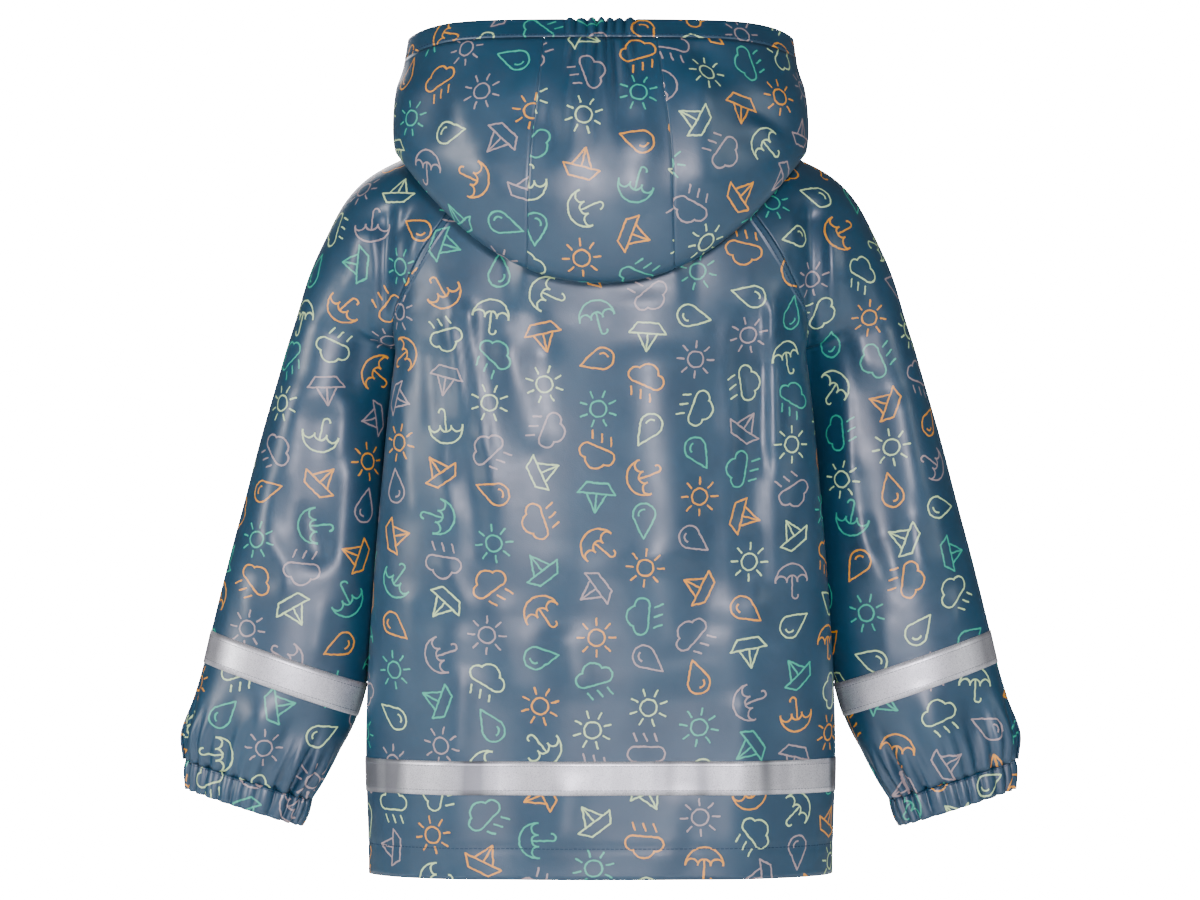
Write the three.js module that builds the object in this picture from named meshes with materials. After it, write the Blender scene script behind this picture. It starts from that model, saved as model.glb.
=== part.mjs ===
// Kids raincoat, hollow as if worn. Millimetres, +Z up, the front faces -Y, the wearer's left is +X.
// The origin is the middle of the neck opening, where the wearer holds the coat up.
import * as THREE from 'three';

// Walls and seams
const CLOTH = 1.2; // coated cloth with its folded seam allowance
const CASING = 1.6; // cloth turned over an elastic
const SEAM_GAP = 0.3; // between two pieces that are sewn together
const SAME_PLACE = 0.02; // points this near are one place of a seam
const TAPE = 1.0; // reflective tape
const STUD_RADIUS = 5.5;
const STUD_HEIGHT = 1.8;
const STUD_SIDES = 14;
const STUD_COUNT = 5;
const STUD_FIRST = 0.8; // row of the highest stud
const STUD_LAST = 22; // row of the lowest stud
const STUD_TOP = 0.82; // its top's radius, as a share of its foot's
const STUD_SIGHT = 0.2; // rows above and below a stud that give the slope of its seat

// Rows count down from the neck: 0 to 8 follow the raglan seam, and from there each is 25 mm lower.
const UNDERARM_ROW = 8;
const TAPE_TOP_ROW = 19.92;
const TAPE_LOW_ROW = 20.92;
const HEM_ROW = 23.42;
const BODY_ROWS = [0, 1, 2, 3, 4, 5, 6, 7, 8, 9.4, 10.8, 12.4, 14.2, 16, 18, TAPE_TOP_ROW, TAPE_LOW_ROW,
  22.2, HEM_ROW];
const HALF_COLUMNS = 12; // of a body panel, from its middle to its side
const LAP_COLUMNS = 2; // of a front panel, beyond the centre front
const LAP_LIFT = 1.7; // of the left front above the right one
const LAP_FULL_X = 30; // the lift is whole inside this X, and ends at LAP_END_X
const LAP_END_X = 50;

// Sleeve rows: 0 to 8 as the body's, then down to the cuff.
const SLEEVE_TAPE_TOP = 15.5;
const SLEEVE_TAPE_LOW = 16.2;
const CUFF_ROW = 19;
const SLEEVE_ROWS = [0, 1, 2, 3, 4, 5, 6, 7, 8, 9, 10, 11, 12, 13, 14, SLEEVE_TAPE_TOP, SLEEVE_TAPE_LOW,
  17, 18, 18.6, CUFF_ROW];
const SLEEVE_COLUMNS = [0, 0.14, 0.28, 0.42, 0.56, 0.69, 0.8, 0.9, 1]; // overarm to raglan or underarm
const ARM_Y = -8; // plane of the overarm and underarm seams

const CUFF_GATHERS = 26;
const CUFF_STEPS = 4; // columns of one gather
const CUFF_RIPPLE = 1.5; // height of a gather at the cuff seam
const CUFF_CALM = 0.4; // share of it that is lost at the cuff's edge
const CUFF_BULGE = 0.03; // how much wider the cuff is half way down, as a share
const CUFF_DEPTH = 27; // half of the cuff, front to back
const CUFF_ROWS = 3;
const HALF_ROUND = 4 / 3; // handle of a half ellipse, for a depth of 1

// Half of a body row: its middle, its side end, and the side end's handle (swell in X, rise in Y).
// flat is how far the row runs straight from the middle, as a share of x.
const BODY_COLUMNS = ['row', 'midZ', 'midY', 'x', 'y', 'z', 'swell', 'rise', 'flat'];
const BACK = named(BODY_COLUMNS, [
  [0, 6, 60, 66, 34, 3, -8, 17, 0.5],
  [1, -26, 77, 90, 62, -30, -28, 12, 0.5],
  [2, -57, 86, 115, 74, -62, -38, 11, 0.5],
  [3, -84, 91.5, 132, 76, -87, -40, 14, 0.5],
  [4, -110, 95, 145, 68, -113, -30, 22, 0.55],
  [5, -131, 97, 153, 52, -133, -6, 30, 0.6],
  [6, -149, 98.5, 152, 30, -150, 14, 46, 0.68],
  [7, -160, 99, 144, 10, -161, 34, 66, 0.75],
  [8, -166, 99.5, 137, -8, -166, 52, 82, 0.78],
  [9.6, -206, 100, 134, -8, -206, 70, 84, 0.8],
  [11.2, -246, 100.5, 137, -7, -246, 72, 84, 0.8],
  [14.4, -326, 100, 148, -5, -326, 63, 78, 0.8],
  [17.6, -406, 98, 164, -2, -406, 38, 66, 0.76],
  [19.92, -464, 97, 172, 0, -464, 20, 52, 0.72],
  [23.42, -551.6, 96, 174, 0, -551.6, 0, 50, 0.7],
]);
const FRONT = named(BODY_COLUMNS, [
  [0, -25, -62, 58, -42, -14, -10, -10, 0.55],
  [1, -48, -74, 76, -58, -34, -20, -9, 0.5],
  [2, -72, -81, 93, -70, -57, -28, -8, 0.5],
  [3, -95, -86, 108, -76, -80, -33, -9, 0.5],
  [4, -115, -89, 119, -76, -101, -32, -11, 0.5],
  [5, -132, -91, 128, -69, -121, -24, -18, 0.56],
  [6, -148, -92, 135, -55, -139, -8, -28, 0.62],
  [7, -160, -93, 139, -33, -155, 10, -46, 0.7],
  [8, -166, -93.5, 137, -8, -166, 28, -72, 0.76],
  [9.6, -206, -94, 134, -8, -206, 46, -74, 0.8],
  [11.2, -246, -94.5, 137, -7, -246, 50, -74, 0.8],
  [14.4, -326, -95, 148, -5, -326, 46, -70, 0.8],
  [17.6, -406, -94, 164, -2, -406, 27, -60, 0.76],
  [19.92, -464, -93, 172, 0, -464, 16, -50, 0.72],
  [23.42, -551.6, -92, 174, 0, -551.6, 0, -48, 0.7],
]);

const SIDE_SEAM = BACK.filter((r) => r.row >= UNDERARM_ROW); // the same for the back and the fronts

// Overarm seam (out) and underarm seam (in) of a sleeve, and how deep it is behind and before them.
const ARM = named(['row', 'outX', 'outZ', 'inX', 'inZ', 'behind', 'before'], [
  [0, 72, 3, 66, 3, 12, 10],
  [1, 100, -1, 90, -30, 21, 18],
  [2, 127, -9, 115, -62, 28, 25],
  [3, 152, -18, 132, -87, 33, 31],
  [4, 175, -31, 145, -113, 36, 35],
  [5, 192, -49, 153, -133, 38, 38],
  [6, 206, -75, 152, -150, 40, 40],
  [7, 219, -104, 144, -161, 41, 41],
  [8, 229, -137, 137, -166, 41, 41],
  [8.7, 236, -159, 150, -190, 41, 41],
  [9.5, 242.6, -182, 157, -214, 41, 41],
  [11, 255.7, -227.5, 161, -260, 42, 42],
  [12.5, 267.4, -272.6, 163, -307, 42, 42],
  [14, 279.4, -317.6, 167, -354, 42, 42],
  [15.5, 292.4, -370, 175.5, -410, 42, 42],
  [16.2, 298, -394, 182.5, -434.5, 41, 41],
  [17.5, 306, -427, 196, -463, 38, 38],
  [18.5, 310.5, -451, 208, -483, 33, 33],
  [19, 309.6, -467, 217, -496.3, 29, 29],
]);
// Handle of a sleeve row where it meets the raglan seam, from the seam point.
const HANDLE_COLUMNS = ['row', 'x', 'y', 'z'];
const RAGLAN_BACK = named(HANDLE_COLUMNS, [
  [0, 4, -15, 1], [1, 8, -22, 20], [2, 15, -20, 28], [3, 23, -15, 28], [4, 30, -7, 22],
  [5, 34, 8, 14], [6, 32, 26, 8], [7, 34, 38, 6], [8, 44, 46, 4],
  [8.7, 32, 50, 0], [9.5, 18, 53, 0], [11, 0, 56, 0],
]);
const RAGLAN_FRONT = named(HANDLE_COLUMNS, [
  [0, 6, 13, 5], [1, 8, 20, 14], [2, 14, 18, 24], [3, 20, 15, 26], [4, 28, 8, 22],
  [5, 32, -5, 16], [6, 28, -24, 8], [7, 28, -38, 6], [8, 30, -46, 4],
  [8.7, 22, -50, 0], [9.5, 12, -53, 0], [11, 0, -56, 0],
]);

// Folds as straight troughs (height below 0) and ridges, from one end to the other.
const FOLD_COLUMNS = ['x1', 'z1', 'x2', 'z2', 'width', 'height'];
const BACK_FOLDS = named(FOLD_COLUMNS, [
  [157, -45, 160, -140, 13, -8],
  [-156, -40, -160, -150, 13, -9],
  [183, -75, 163, -145, 14, -4],
  [110, -112, 107, -235, 9, 3],
  [103, -118, 80, -280, 8, 3],
  [96, -130, 90, -330, 10, -3],
  [-125, -108, -127, -175, 9, 4],
  [-117, -150, -112, -350, 13, -5],
  [-140, -110, -148, -330, 12, -3],
  [-35, -150, -60, -420, 32, 4],
  [40, -140, 35, -380, 30, -3],
  [18, -300, 30, -540, 24, 3],
  [-95, -330, -100, -545, 22, 3],
  [110, -350, 120, -545, 20, 3],
  [230, -170, 262, -330, 22, 5],
  [205, -190, 215, -330, 20, -5],
  [-226, -180, -256, -340, 20, 5],
  [-200, -170, -214, -320, 18, -5],
  [250, -410, 262, -462, 14, 4],
  [-238, -405, -250, -462, 14, 4],
  [-275, -400, -290, -458, 12, -3],
  [215, -420, 236, -470, 12, -3],
]);
const FRONT_FOLDS = named(FOLD_COLUMNS, [
  [112, -100, 100, -300, 14, 4],
  [-112, -100, -104, -280, 14, 4],
  [88, -120, 78, -340, 16, -4],
  [-86, -120, -80, -360, 16, -4],
  [60, -330, 66, -545, 22, 3],
  [-64, -320, -70, -545, 22, 3],
  [228, -170, 258, -330, 22, 5],
  [-228, -180, -254, -330, 22, 5],
  [206, -190, 216, -320, 20, -5],
  [-202, -180, -214, -330, 20, -5],
]);
const FOLD_FADE = 26; // a fold reaches its whole height this far from its ends
const FOLD_REACH = 34; // and dies out this near to the plane of the side seams

// The hood, lying on the back, is one sheet over rings from the neck (share 0) to the brim (share 1).
// backCorner is how late the ring's height turns from its back's to its side's.
const HOOD = named(
  ['share', 'halfX', 'backY', 'sideY', 'frontY', 'backZ', 'sideZ', 'frontZ', 'backCorner'], [
    [0, 72, 61, -5, -62, 7, 4, -25, 2],
    [0.05, 75, 66, -4, -65, 17, 18, -16, 2],
    [0.12, 86, 78, 2, -68, 19, 26, -9, 2],
    [0.2, 102, 91, 10, -71, -6, 23, -3, 2],
    [0.32, 126, 103, 22, -73, -52, 12, 2, 2],
    [0.42, 143, 112, 34, -75, -95, -4, 4, 2.1],
    [0.5, 150, 125, 44, -77, -113, -16, 7, 2.2],
    [0.58, 153, 141, 46, -79, -99, -10, 10, 2.2],
    [0.7, 154, 150, 42, -82, -46, 8, 14, 2.4],
    [0.82, 152, 147, 34, -84, 14, 32, 18, 3.5],
    [0.93, 147, 122, 22, -83, 60, 50, 22, 6],
    [1, 143, 104, 15, -81, 81, 62, 25, 9],
  ]);
const HOOD_SHARES = [0, 0.05, 0.12, 0.22, 0.36, 0.46, 0.54, 0.64, 0.76, 0.87, 0.95];
const CASING_SHARES = [0.952, 0.976, 1];
const FRONT_CORNER = 2.5; // how late its height turns from its side's to its front's
const HOOD_ROUND = 0.86; // below 1 the rings are squarer than an ellipse
const BRIM_END = 2.55; // turn at which the brim ends, as the front edges fall open in a V
const NECK_BLEND = 0.2; // share of the sheet over which it leaves the true neckline
const HOOD_SEAM = named(['share', 'x'], [
  [0, 47], [0.12, 50], [0.36, 53], [0.5, 54], [0.64, 53], [0.76, 51], [0.87, 45], [1, 39],
]);
const HOOD_SEAM_STATION = 8; // of the back's columns, where that seam meets the neck
const HOOD_FOLDS = named(FOLD_COLUMNS, [
  [-62, 74, -95, 26, 10, -5],
  [-95, 26, -148, -10, 11, -5],
  [-70, 60, -78, -60, 16, 4],
  [60, 30, 20, -30, 16, -3],
  [120, 40, 132, -20, 14, -4],
  [95, -10, 60, -70, 16, 3],
  [-20, 10, -30, -70, 16, 3],
]);
const HOOD_FOLD_FROM = 0.5; // share at which the hood's folds begin to grow
const HOOD_FOLD_OVER = 0.15; // and over which they reach their height
const HOOD_FOLD_Y = -20; // Y at which they have died out, towards the front
const HOOD_FOLD_DEEP = 60; // and from which they are whole, that far behind it
const HOOD_OUT_Y = 20; // the hood's folds stand out from this place of the middle plane
const HOOD_OUT_X = 0.6; // less sideways than backwards
const GATHERS = 8; // of the casing's elastic, from GATHER_HALF on one side to it on the other
const GATHER_HALF = 29;
const GATHER_STEPS = 4; // columns of one gather
const GATHER_HEIGHT = 2.2;
const GATHER_END = 8; // the gathers grow over this width from each end of the elastic
const CASING_SIDE_COLUMNS = 14;

function named(names, rows) {
  return rows.map((row) => Object.fromEntries(names.map((name, k) => [name, row[k]])));
}

const clamp = (value, low, high) => Math.min(Math.max(value, low), high);
const ease = (value) => {
  const t = clamp(value, 0, 1);
  return t * t * (3 - 2 * t);
};

// Reads a table at a value between its rows, smoothly.
function read(table, key, at) {
  const last = table.length - 1;
  let i = 0;
  while (i < last - 1 && at > table[i + 1][key]) i++;
  const span = table[i + 1][key] - table[i][key];
  const t = clamp((at - table[i][key]) / span, 0, 1);
  const found = {};
  for (const name of Object.keys(table[0])) {
    const slope = (j) => {
      const a = table[Math.max(j - 1, 0)];
      const b = table[Math.min(j + 1, last)];
      return ((b[name] - a[name]) / (b[key] - a[key])) * span;
    };
    const rise = table[i + 1][name] - table[i][name];
    found[name] = table[i][name] + slope(i) * t * (1 - t) * (1 - t)
      - slope(i + 1) * t * t * (1 - t) + rise * t * t * (3 - 2 * t);
  }
  return found;
}

function bezier(a, b, c, d, t) {
  const u = 1 - t;
  return a.clone().multiplyScalar(u * u * u).addScaledVector(b, 3 * u * u * t)
    .addScaledVector(c, 3 * u * t * t).addScaledVector(d, t * t * t);
}

// Height of all folds of a table at (x, z)
function folds(table, x, z) {
  let height = 0;
  for (const fold of table) {
    const dx = fold.x2 - fold.x1;
    const dz = fold.z2 - fold.z1;
    const length = Math.hypot(dx, dz);
    const along = ((x - fold.x1) * dx + (z - fold.z1) * dz) / length;
    const away = ((x - fold.x1) * dz - (z - fold.z1) * dx) / length;
    const faded = ease(along / FOLD_FADE) * ease((length - along) / FOLD_FADE);
    height += fold.height * faded * Math.exp(-((away / fold.width) ** 2));
  }
  return height;
}

// Moves a point of the body or a sleeve by the folds, which are the same for neighbours at a seam.
function folded(p) {
  const away = p.y - ARM_Y;
  const table = away > 0 ? BACK_FOLDS : FRONT_FOLDS;
  const height = folds(table, p.x, p.z) * ease(Math.abs(away) / FOLD_REACH);
  return new THREE.Vector3(p.x, p.y + Math.sign(away) * height, p.z);
}

// Point of a body panel. across is 0 at its middle, 1 at the left side and -1 at the right side.
function body(table, row, across) {
  const r = read(table, 'row', row);
  const start = new THREE.Vector3(0, r.midY, r.midZ);
  const run = new THREE.Vector3(r.flat * r.x, r.midY, r.midZ);
  const e = row > UNDERARM_ROW ? read(SIDE_SEAM, 'row', row) : r;
  const end = new THREE.Vector3(e.x, e.y, e.z);
  const handle = new THREE.Vector3(e.x + r.swell, e.y + r.rise, e.z);
  const p = bezier(start, run, handle, end, Math.abs(across));
  p.x *= Math.sign(across) || 1;
  return p;
}

function frontWithLap(row, across, lifted) {
  const p = folded(body(FRONT, row, across));
  if (lifted) p.y -= LAP_LIFT * ease((LAP_END_X - p.x) / (LAP_END_X - LAP_FULL_X));
  return p;
}

// Point of the left sleeve. across is 0 at the overarm seam and 1 at the raglan or underarm seam.
function sleeve(table, handles, side, row, across) {
  const r = read(ARM, 'row', row);
  const depth = HALF_ROUND * (side > 0 ? r.behind : r.before) * side;
  const out = new THREE.Vector3(r.outX, ARM_Y, r.outZ);
  const outHandle = out.clone().add(new THREE.Vector3(0, depth, 0));
  const raglan = row <= UNDERARM_ROW;
  const end = raglan ? body(table, row, 1) : new THREE.Vector3(r.inX, ARM_Y, r.inZ);
  const h = read(handles, 'row', row);
  const round = row > handles[handles.length - 1].row;
  const endHandle = new THREE.Vector3(h.x, round ? depth : h.y, h.z).add(end);
  return bezier(out, outHandle, endHandle, end, across);
}

const mirrored = (p) => new THREE.Vector3(-p.x, p.y, p.z);

// Neckline from the centre back to the centre front, as the places of all the panels' columns.
function neckline() {
  const places = [];
  for (let k = 0; k <= HALF_COLUMNS; k++) places.push(body(BACK, 0, k / HALF_COLUMNS));
  const round = SLEEVE_COLUMNS.slice(1, -1);
  for (const c of [...round].reverse()) places.push(sleeve(BACK, RAGLAN_BACK, 1, 0, c));
  places.push(sleeve(BACK, RAGLAN_BACK, 1, 0, 0));
  for (const c of round) places.push(sleeve(FRONT, RAGLAN_FRONT, -1, 0, c));
  for (let k = HALF_COLUMNS; k >= 1; k--) places.push(body(FRONT, 0, k / HALF_COLUMNS));
  return places;
}

const NECK = neckline();

// Angle round the hood, 0 at the back and PI at the front, that belongs to a place of the neckline
function turnOf(place) {
  const r = HOOD[0];
  const half = place.y > r.sideY ? r.backY - r.sideY : r.sideY - r.frontY;
  const s = Math.abs(place.x / r.halfX) ** (1 / HOOD_ROUND);
  const c = Math.abs((place.y - r.sideY) / half) ** (1 / HOOD_ROUND);
  return place.y > r.sideY ? Math.atan2(s, c) : Math.PI - Math.atan2(s, c);
}

function hoodRing(share, turn) {
  const r = read(HOOD, 'share', share);
  const s = Math.abs(Math.sin(turn)) ** HOOD_ROUND;
  const c = Math.abs(Math.cos(turn)) ** HOOD_ROUND;
  const behind = turn < Math.PI / 2;
  const y = behind ? r.sideY + (r.backY - r.sideY) * c : r.sideY - (r.sideY - r.frontY) * c;
  const z = behind ? r.backZ + (r.sideZ - r.backZ) * s ** r.backCorner
    : r.frontZ + (r.sideZ - r.frontZ) * s ** FRONT_CORNER;
  return new THREE.Vector3(r.halfX * s, y, z);
}

// Point of the hood's left half before its folds
function hoodSheet(share, turn, place) {
  const p = hoodRing(share, turn);
  if (place) p.addScaledVector(place.clone().sub(hoodRing(0, turn)), 1 - ease(share / NECK_BLEND));
  return p;
}

function hoodFolded(p, share, gathers = 0) {
  const grown = ease((share - HOOD_FOLD_FROM) / HOOD_FOLD_OVER);
  const seen = grown * ease((p.y - HOOD_FOLD_Y) / HOOD_FOLD_DEEP);
  let height = folds(HOOD_FOLDS, p.x, p.z) * seen;
  if (gathers) {
    const inside = ease((GATHER_HALF - Math.abs(p.x)) / GATHER_END);
    height += gathers * inside * Math.cos((Math.PI * GATHERS * p.x) / GATHER_HALF);
  }
  const out = new THREE.Vector3(p.x * HOOD_OUT_X, p.y - HOOD_OUT_Y, 0).normalize();
  return p.clone().addScaledVector(out, height);
}

const seamTurn = (share) => {
  const x = read(HOOD_SEAM, 'share', share).x;
  return Math.asin((x / read(HOOD, 'share', share).halfX) ** (1 / HOOD_ROUND));
};

// Panels are grids of outer points. All of them are gathered here first, then sewn and thickened.
const panels = new Map();
function panel(name, grid, wall, flip = false) {
  const turnRow = name.startsWith('hood') ? -1 : UNDERARM_ROW;
  panels.set(name, { grid, wall, flip, turnRow });
}

const halves = (count) => Array.from({ length: count + 1 }, (_, k) => k / count);
const across = [...halves(HALF_COLUMNS).slice(1).reverse().map((s) => -s), ...halves(HALF_COLUMNS)];
panel('back', BODY_ROWS.map((row) => across.map((s) => folded(body(BACK, row, s)))), CLOTH, true);
const lapped = [...halves(HALF_COLUMNS).slice(1, LAP_COLUMNS + 1).reverse().map((s) => -s),
  ...halves(HALF_COLUMNS)];
// Beyond the centre front the columns stay as wide as they are at the neck.
const straight = (row, s) => {
  if (s >= 0) return s;
  const r = read(FRONT, 'row', row);
  return (s * FRONT[0].flat * FRONT[0].x) / (r.flat * r.x);
};
panel('front_left', BODY_ROWS.map(
  (row) => lapped.map((s) => frontWithLap(row, straight(row, s), true))), CLOTH);
panel('front_right', BODY_ROWS.map(
  (row) => lapped.map((s) => frontWithLap(row, -straight(row, s), false))), CLOTH, true);

const sleeveGrid = (table, handles, side, place) => SLEEVE_ROWS.map(
  (row) => SLEEVE_COLUMNS.map((c) => folded(place(sleeve(table, handles, side, row, c)))));
const asIs = (p) => p;
panel('sleeve_left_back', sleeveGrid(BACK, RAGLAN_BACK, 1, asIs), CLOTH);
panel('sleeve_left_front', sleeveGrid(FRONT, RAGLAN_FRONT, -1, asIs), CLOTH, true);
panel('sleeve_right_back', sleeveGrid(BACK, RAGLAN_BACK, 1, mirrored), CLOTH, true);
panel('sleeve_right_front', sleeveGrid(FRONT, RAGLAN_FRONT, -1, mirrored), CLOTH);

// Hood panels, with the neckline's own places as their columns
const turns = NECK.map(turnOf);
const seamStart = turns[HOOD_SEAM_STATION];
const endTurn = turns[turns.length - 1];
const edgeTurn = (share) => endTurn + (BRIM_END - endTurn) * share;
function hoodColumn(share, k) {
  const seam = share === 0 ? seamStart : seamTurn(share);
  if (k <= HOOD_SEAM_STATION) return (turns[k] / seamStart) * seam;
  return seam + ((turns[k] - seamStart) / (endTurn - seamStart)) * (edgeTurn(share) - seam);
}
const hoodPoint = (share, k) => hoodSheet(share, hoodColumn(share, k), NECK[k]);
const sideStations = NECK.map((_, k) => k).slice(HOOD_SEAM_STATION);
panel('hood_left', HOOD_SHARES.map((share) => sideStations.map(
  (k) => hoodFolded(hoodPoint(share, k), share))), CLOTH);
panel('hood_right', HOOD_SHARES.map((share) => sideStations.map(
  (k) => hoodFolded(mirrored(hoodPoint(share, k)), share))), CLOTH, true);
const middleStations = Array.from({ length: 2 * HOOD_SEAM_STATION + 1 }, (_, k) => k - HOOD_SEAM_STATION);
panel('hood_centre', HOOD_SHARES.map((share) => middleStations.map((k) => {
  const p = hoodPoint(share, Math.abs(k));
  return hoodFolded(k < 0 ? mirrored(p) : p, share);
})), CLOTH);

// Hood casing along the brim, fine over the gathers and coarser beyond
function casingColumns(share) {
  const ring = read(HOOD, 'share', 1);
  const steps = (GATHERS / 2) * GATHER_STEPS;
  const fine = Array.from({ length: steps + 1 },
    (_, k) => Math.asin(((k / steps) * (GATHER_HALF / ring.halfX)) ** (1 / HOOD_ROUND)));
  const last = fine[fine.length - 1];
  const coarse = Array.from({ length: CASING_SIDE_COLUMNS },
    (_, k) => last + ((k + 1) / CASING_SIDE_COLUMNS) * (edgeTurn(share) - last));
  const half = [...fine, ...coarse];
  return [...half.slice(1).reverse().map((t) => -t), ...half];
}
panel('hood_casing', CASING_SHARES.map((share) => casingColumns(share).map((turn) => {
  const p = hoodSheet(share, Math.abs(turn));
  const grown = GATHER_HEIGHT * ease((share - CASING_SHARES[0]) / (1 - CASING_SHARES[0]));
  return hoodFolded(turn < 0 ? mirrored(p) : p, share, grown);
})), CLOTH);

// Cuffs: gathered rings from the cuff seam down to the cuff's edge
const CUFF_TOP = read(ARM, 'row', CUFF_ROW);
const CUFF_END = { outX: 311, outZ: -489, inX: 224.5, inZ: -517 };
function cuffGrid(place) {
  const count = CUFF_GATHERS * CUFF_STEPS;
  const drop = new THREE.Vector3(CUFF_TOP.inX - CUFF_TOP.outX, 0, CUFF_TOP.inZ - CUFF_TOP.outZ);
  const down = new THREE.Vector3(-drop.z, 0, drop.x).normalize();
  return Array.from({ length: CUFF_ROWS }, (_, i) => {
    const s = i / (CUFF_ROWS - 1);
    const outer = new THREE.Vector3(CUFF_TOP.outX, ARM_Y, CUFF_TOP.outZ)
      .lerp(new THREE.Vector3(CUFF_END.outX, ARM_Y, CUFF_END.outZ), s);
    const inner = new THREE.Vector3(CUFF_TOP.inX, ARM_Y, CUFF_TOP.inZ)
      .lerp(new THREE.Vector3(CUFF_END.inX, ARM_Y, CUFF_END.inZ), s);
    const middle = outer.clone().add(inner).multiplyScalar(0.5).addScaledVector(down, SEAM_GAP);
    const wide = outer.clone().sub(inner).multiplyScalar(0.5);
    const bulge = 1 + CUFF_BULGE * Math.sin(Math.PI * s);
    const height = (CUFF_RIPPLE * (1 - CUFF_CALM * s)) / wide.length();
    return Array.from({ length: count }, (_, k) => {
      const turn = (2 * Math.PI * k) / count;
      const ripple = 1 + height * Math.cos(CUFF_GATHERS * turn);
      return place(middle.clone().addScaledVector(wide, Math.cos(turn) * bulge * ripple)
        .add(new THREE.Vector3(0, CUFF_DEPTH * Math.sin(turn) * bulge * ripple, 0)));
    });
  });
}
panels.set('cuff_left', { grid: cuffGrid(asIs), wall: CASING, flip: false, ring: true });
panels.set('cuff_right', { grid: cuffGrid(mirrored), wall: CASING, flip: true, ring: true });

// Normals of a grid, outward
function normals({ grid, flip, ring }) {
  const rows = grid.length;
  const columns = grid[0].length;
  const at = (i, j) => grid[clamp(i, 0, rows - 1)][ring ? (j + columns) % columns : clamp(j, 0, columns - 1)];
  return grid.map((line, i) => line.map((_, j) => {
    const down = at(i + 1, j).clone().sub(at(i - 1, j));
    const along = at(i, j + 1).clone().sub(at(i, j - 1));
    return down.cross(along).normalize().multiplyScalar(flip ? -1 : 1);
  }));
}

// Neighbours at a seam share the mean of their normals, so their rims stay parallel.
function sewNormals() {
  const met = [];
  for (const p of panels.values()) p.normals = normals(p);
  for (const p of panels.values()) {
    p.grid.forEach((line, i) => line.forEach((v, j) => {
      const edge = i === 0 || i === p.grid.length - 1 || (!p.ring && (j === 0 || j === line.length - 1));
      if (!edge) return;
      let group = met.find((g) => g.place.distanceTo(v) < SAME_PLACE);
      if (!group) met.push(group = { place: v, outward: [] });
      group.outward.push(p.normals[i][j]);
    }));
  }
  for (const { outward } of met) {
    const mean = outward.reduce((sum, n) => sum.add(n), new THREE.Vector3()).normalize();
    outward.forEach((n) => n.copy(mean));
  }
}

// Draws each edge of a panel in by half the seam gap, along the cloth.
function drawIn(p) {
  if (p.ring) return;
  const { grid } = p;
  const rows = grid.length;
  const columns = grid[0].length;
  const moves = [];
  for (let i = 0; i < rows; i++) {
    for (let j = 0; j < columns; j++) {
      const move = new THREE.Vector3();
      const draw = (nextI, nextJ, a, b) => {
        const along = b.clone().sub(a);
        const inward = along.cross(p.normals[i][j]).normalize();
        if (inward.dot(grid[nextI][nextJ].clone().sub(grid[i][j])) < 0) inward.negate();
        move.addScaledVector(inward, SEAM_GAP / 2);
      };
      const lineOf = (k) => grid[i][clamp(k, 0, columns - 1)];
      const rowOf = (k) => grid[clamp(k, 0, rows - 1)][j];
      const side = (next) => {
        if (i === p.turnRow) { // four panels meet under the arm
          draw(i, next, rowOf(i - 1), rowOf(i));
          draw(i, next, rowOf(i), rowOf(i + 1));
        } else draw(i, next, rowOf(i - 1), rowOf(i + 1));
      };
      if (i === 0) draw(1, j, lineOf(j - 1), lineOf(j + 1));
      if (i === rows - 1) draw(i - 1, j, lineOf(j - 1), lineOf(j + 1));
      if (j === 0) side(1);
      if (j === columns - 1) side(j - 1);
      moves.push([i, j, move]);
    }
  }
  moves.forEach(([i, j, move]) => grid[i][j].add(move));
}

// Closed body between a grid moved out by `top` and the same grid moved by `top - wall`
function wallMesh({ grid, normals: outward, flip, ring }, wall, top = 0) {
  const rows = grid.length;
  const columns = grid[0].length;
  const places = [];
  const corners = [];
  for (const lift of [top, top - wall]) {
    grid.forEach((line, i) => line.forEach((v, j) => {
      const q = v.clone().addScaledVector(outward[i][j], lift);
      places.push(q.x, q.y, q.z);
    }));
  }
  const inner = rows * columns;
  const at = (i, j, layer) => layer * inner + i * columns + (j % columns);
  const place = (k) => new THREE.Vector3().fromArray(places, 3 * (k % inner));
  const quad = (a, b, c, d) => { // split along its shorter diagonal
    const early = place(a).distanceTo(place(c)) < place(b).distanceTo(place(d)) + 1e-9;
    const pair = early ? [a, b, c, a, c, d] : [a, b, d, b, c, d];
    if (flip) pair.reverse();
    corners.push(...pair);
  };
  const steps = ring ? columns : columns - 1;
  for (let i = 0; i < rows - 1; i++) {
    for (let j = 0; j < steps; j++) {
      quad(at(i, j, 0), at(i + 1, j, 0), at(i + 1, j + 1, 0), at(i, j + 1, 0));
      quad(at(i, j, 1), at(i, j + 1, 1), at(i + 1, j + 1, 1), at(i + 1, j, 1));
    }
  }
  for (let j = 0; j < steps; j++) {
    quad(at(0, j, 0), at(0, j + 1, 0), at(0, j + 1, 1), at(0, j, 1));
    const i = rows - 1;
    quad(at(i, j, 0), at(i, j, 1), at(i, j + 1, 1), at(i, j + 1, 0));
  }
  if (!ring) {
    for (let i = 0; i < rows - 1; i++) {
      quad(at(i, 0, 0), at(i, 0, 1), at(i + 1, 0, 1), at(i + 1, 0, 0));
      const j = columns - 1;
      quad(at(i, j, 0), at(i + 1, j, 0), at(i + 1, j, 1), at(i, j, 1));
    }
  }
  const geometry = new THREE.BufferGeometry();
  geometry.setAttribute('position', new THREE.Float32BufferAttribute(places, 3));
  geometry.setIndex(corners);
  return geometry;
}

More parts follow.
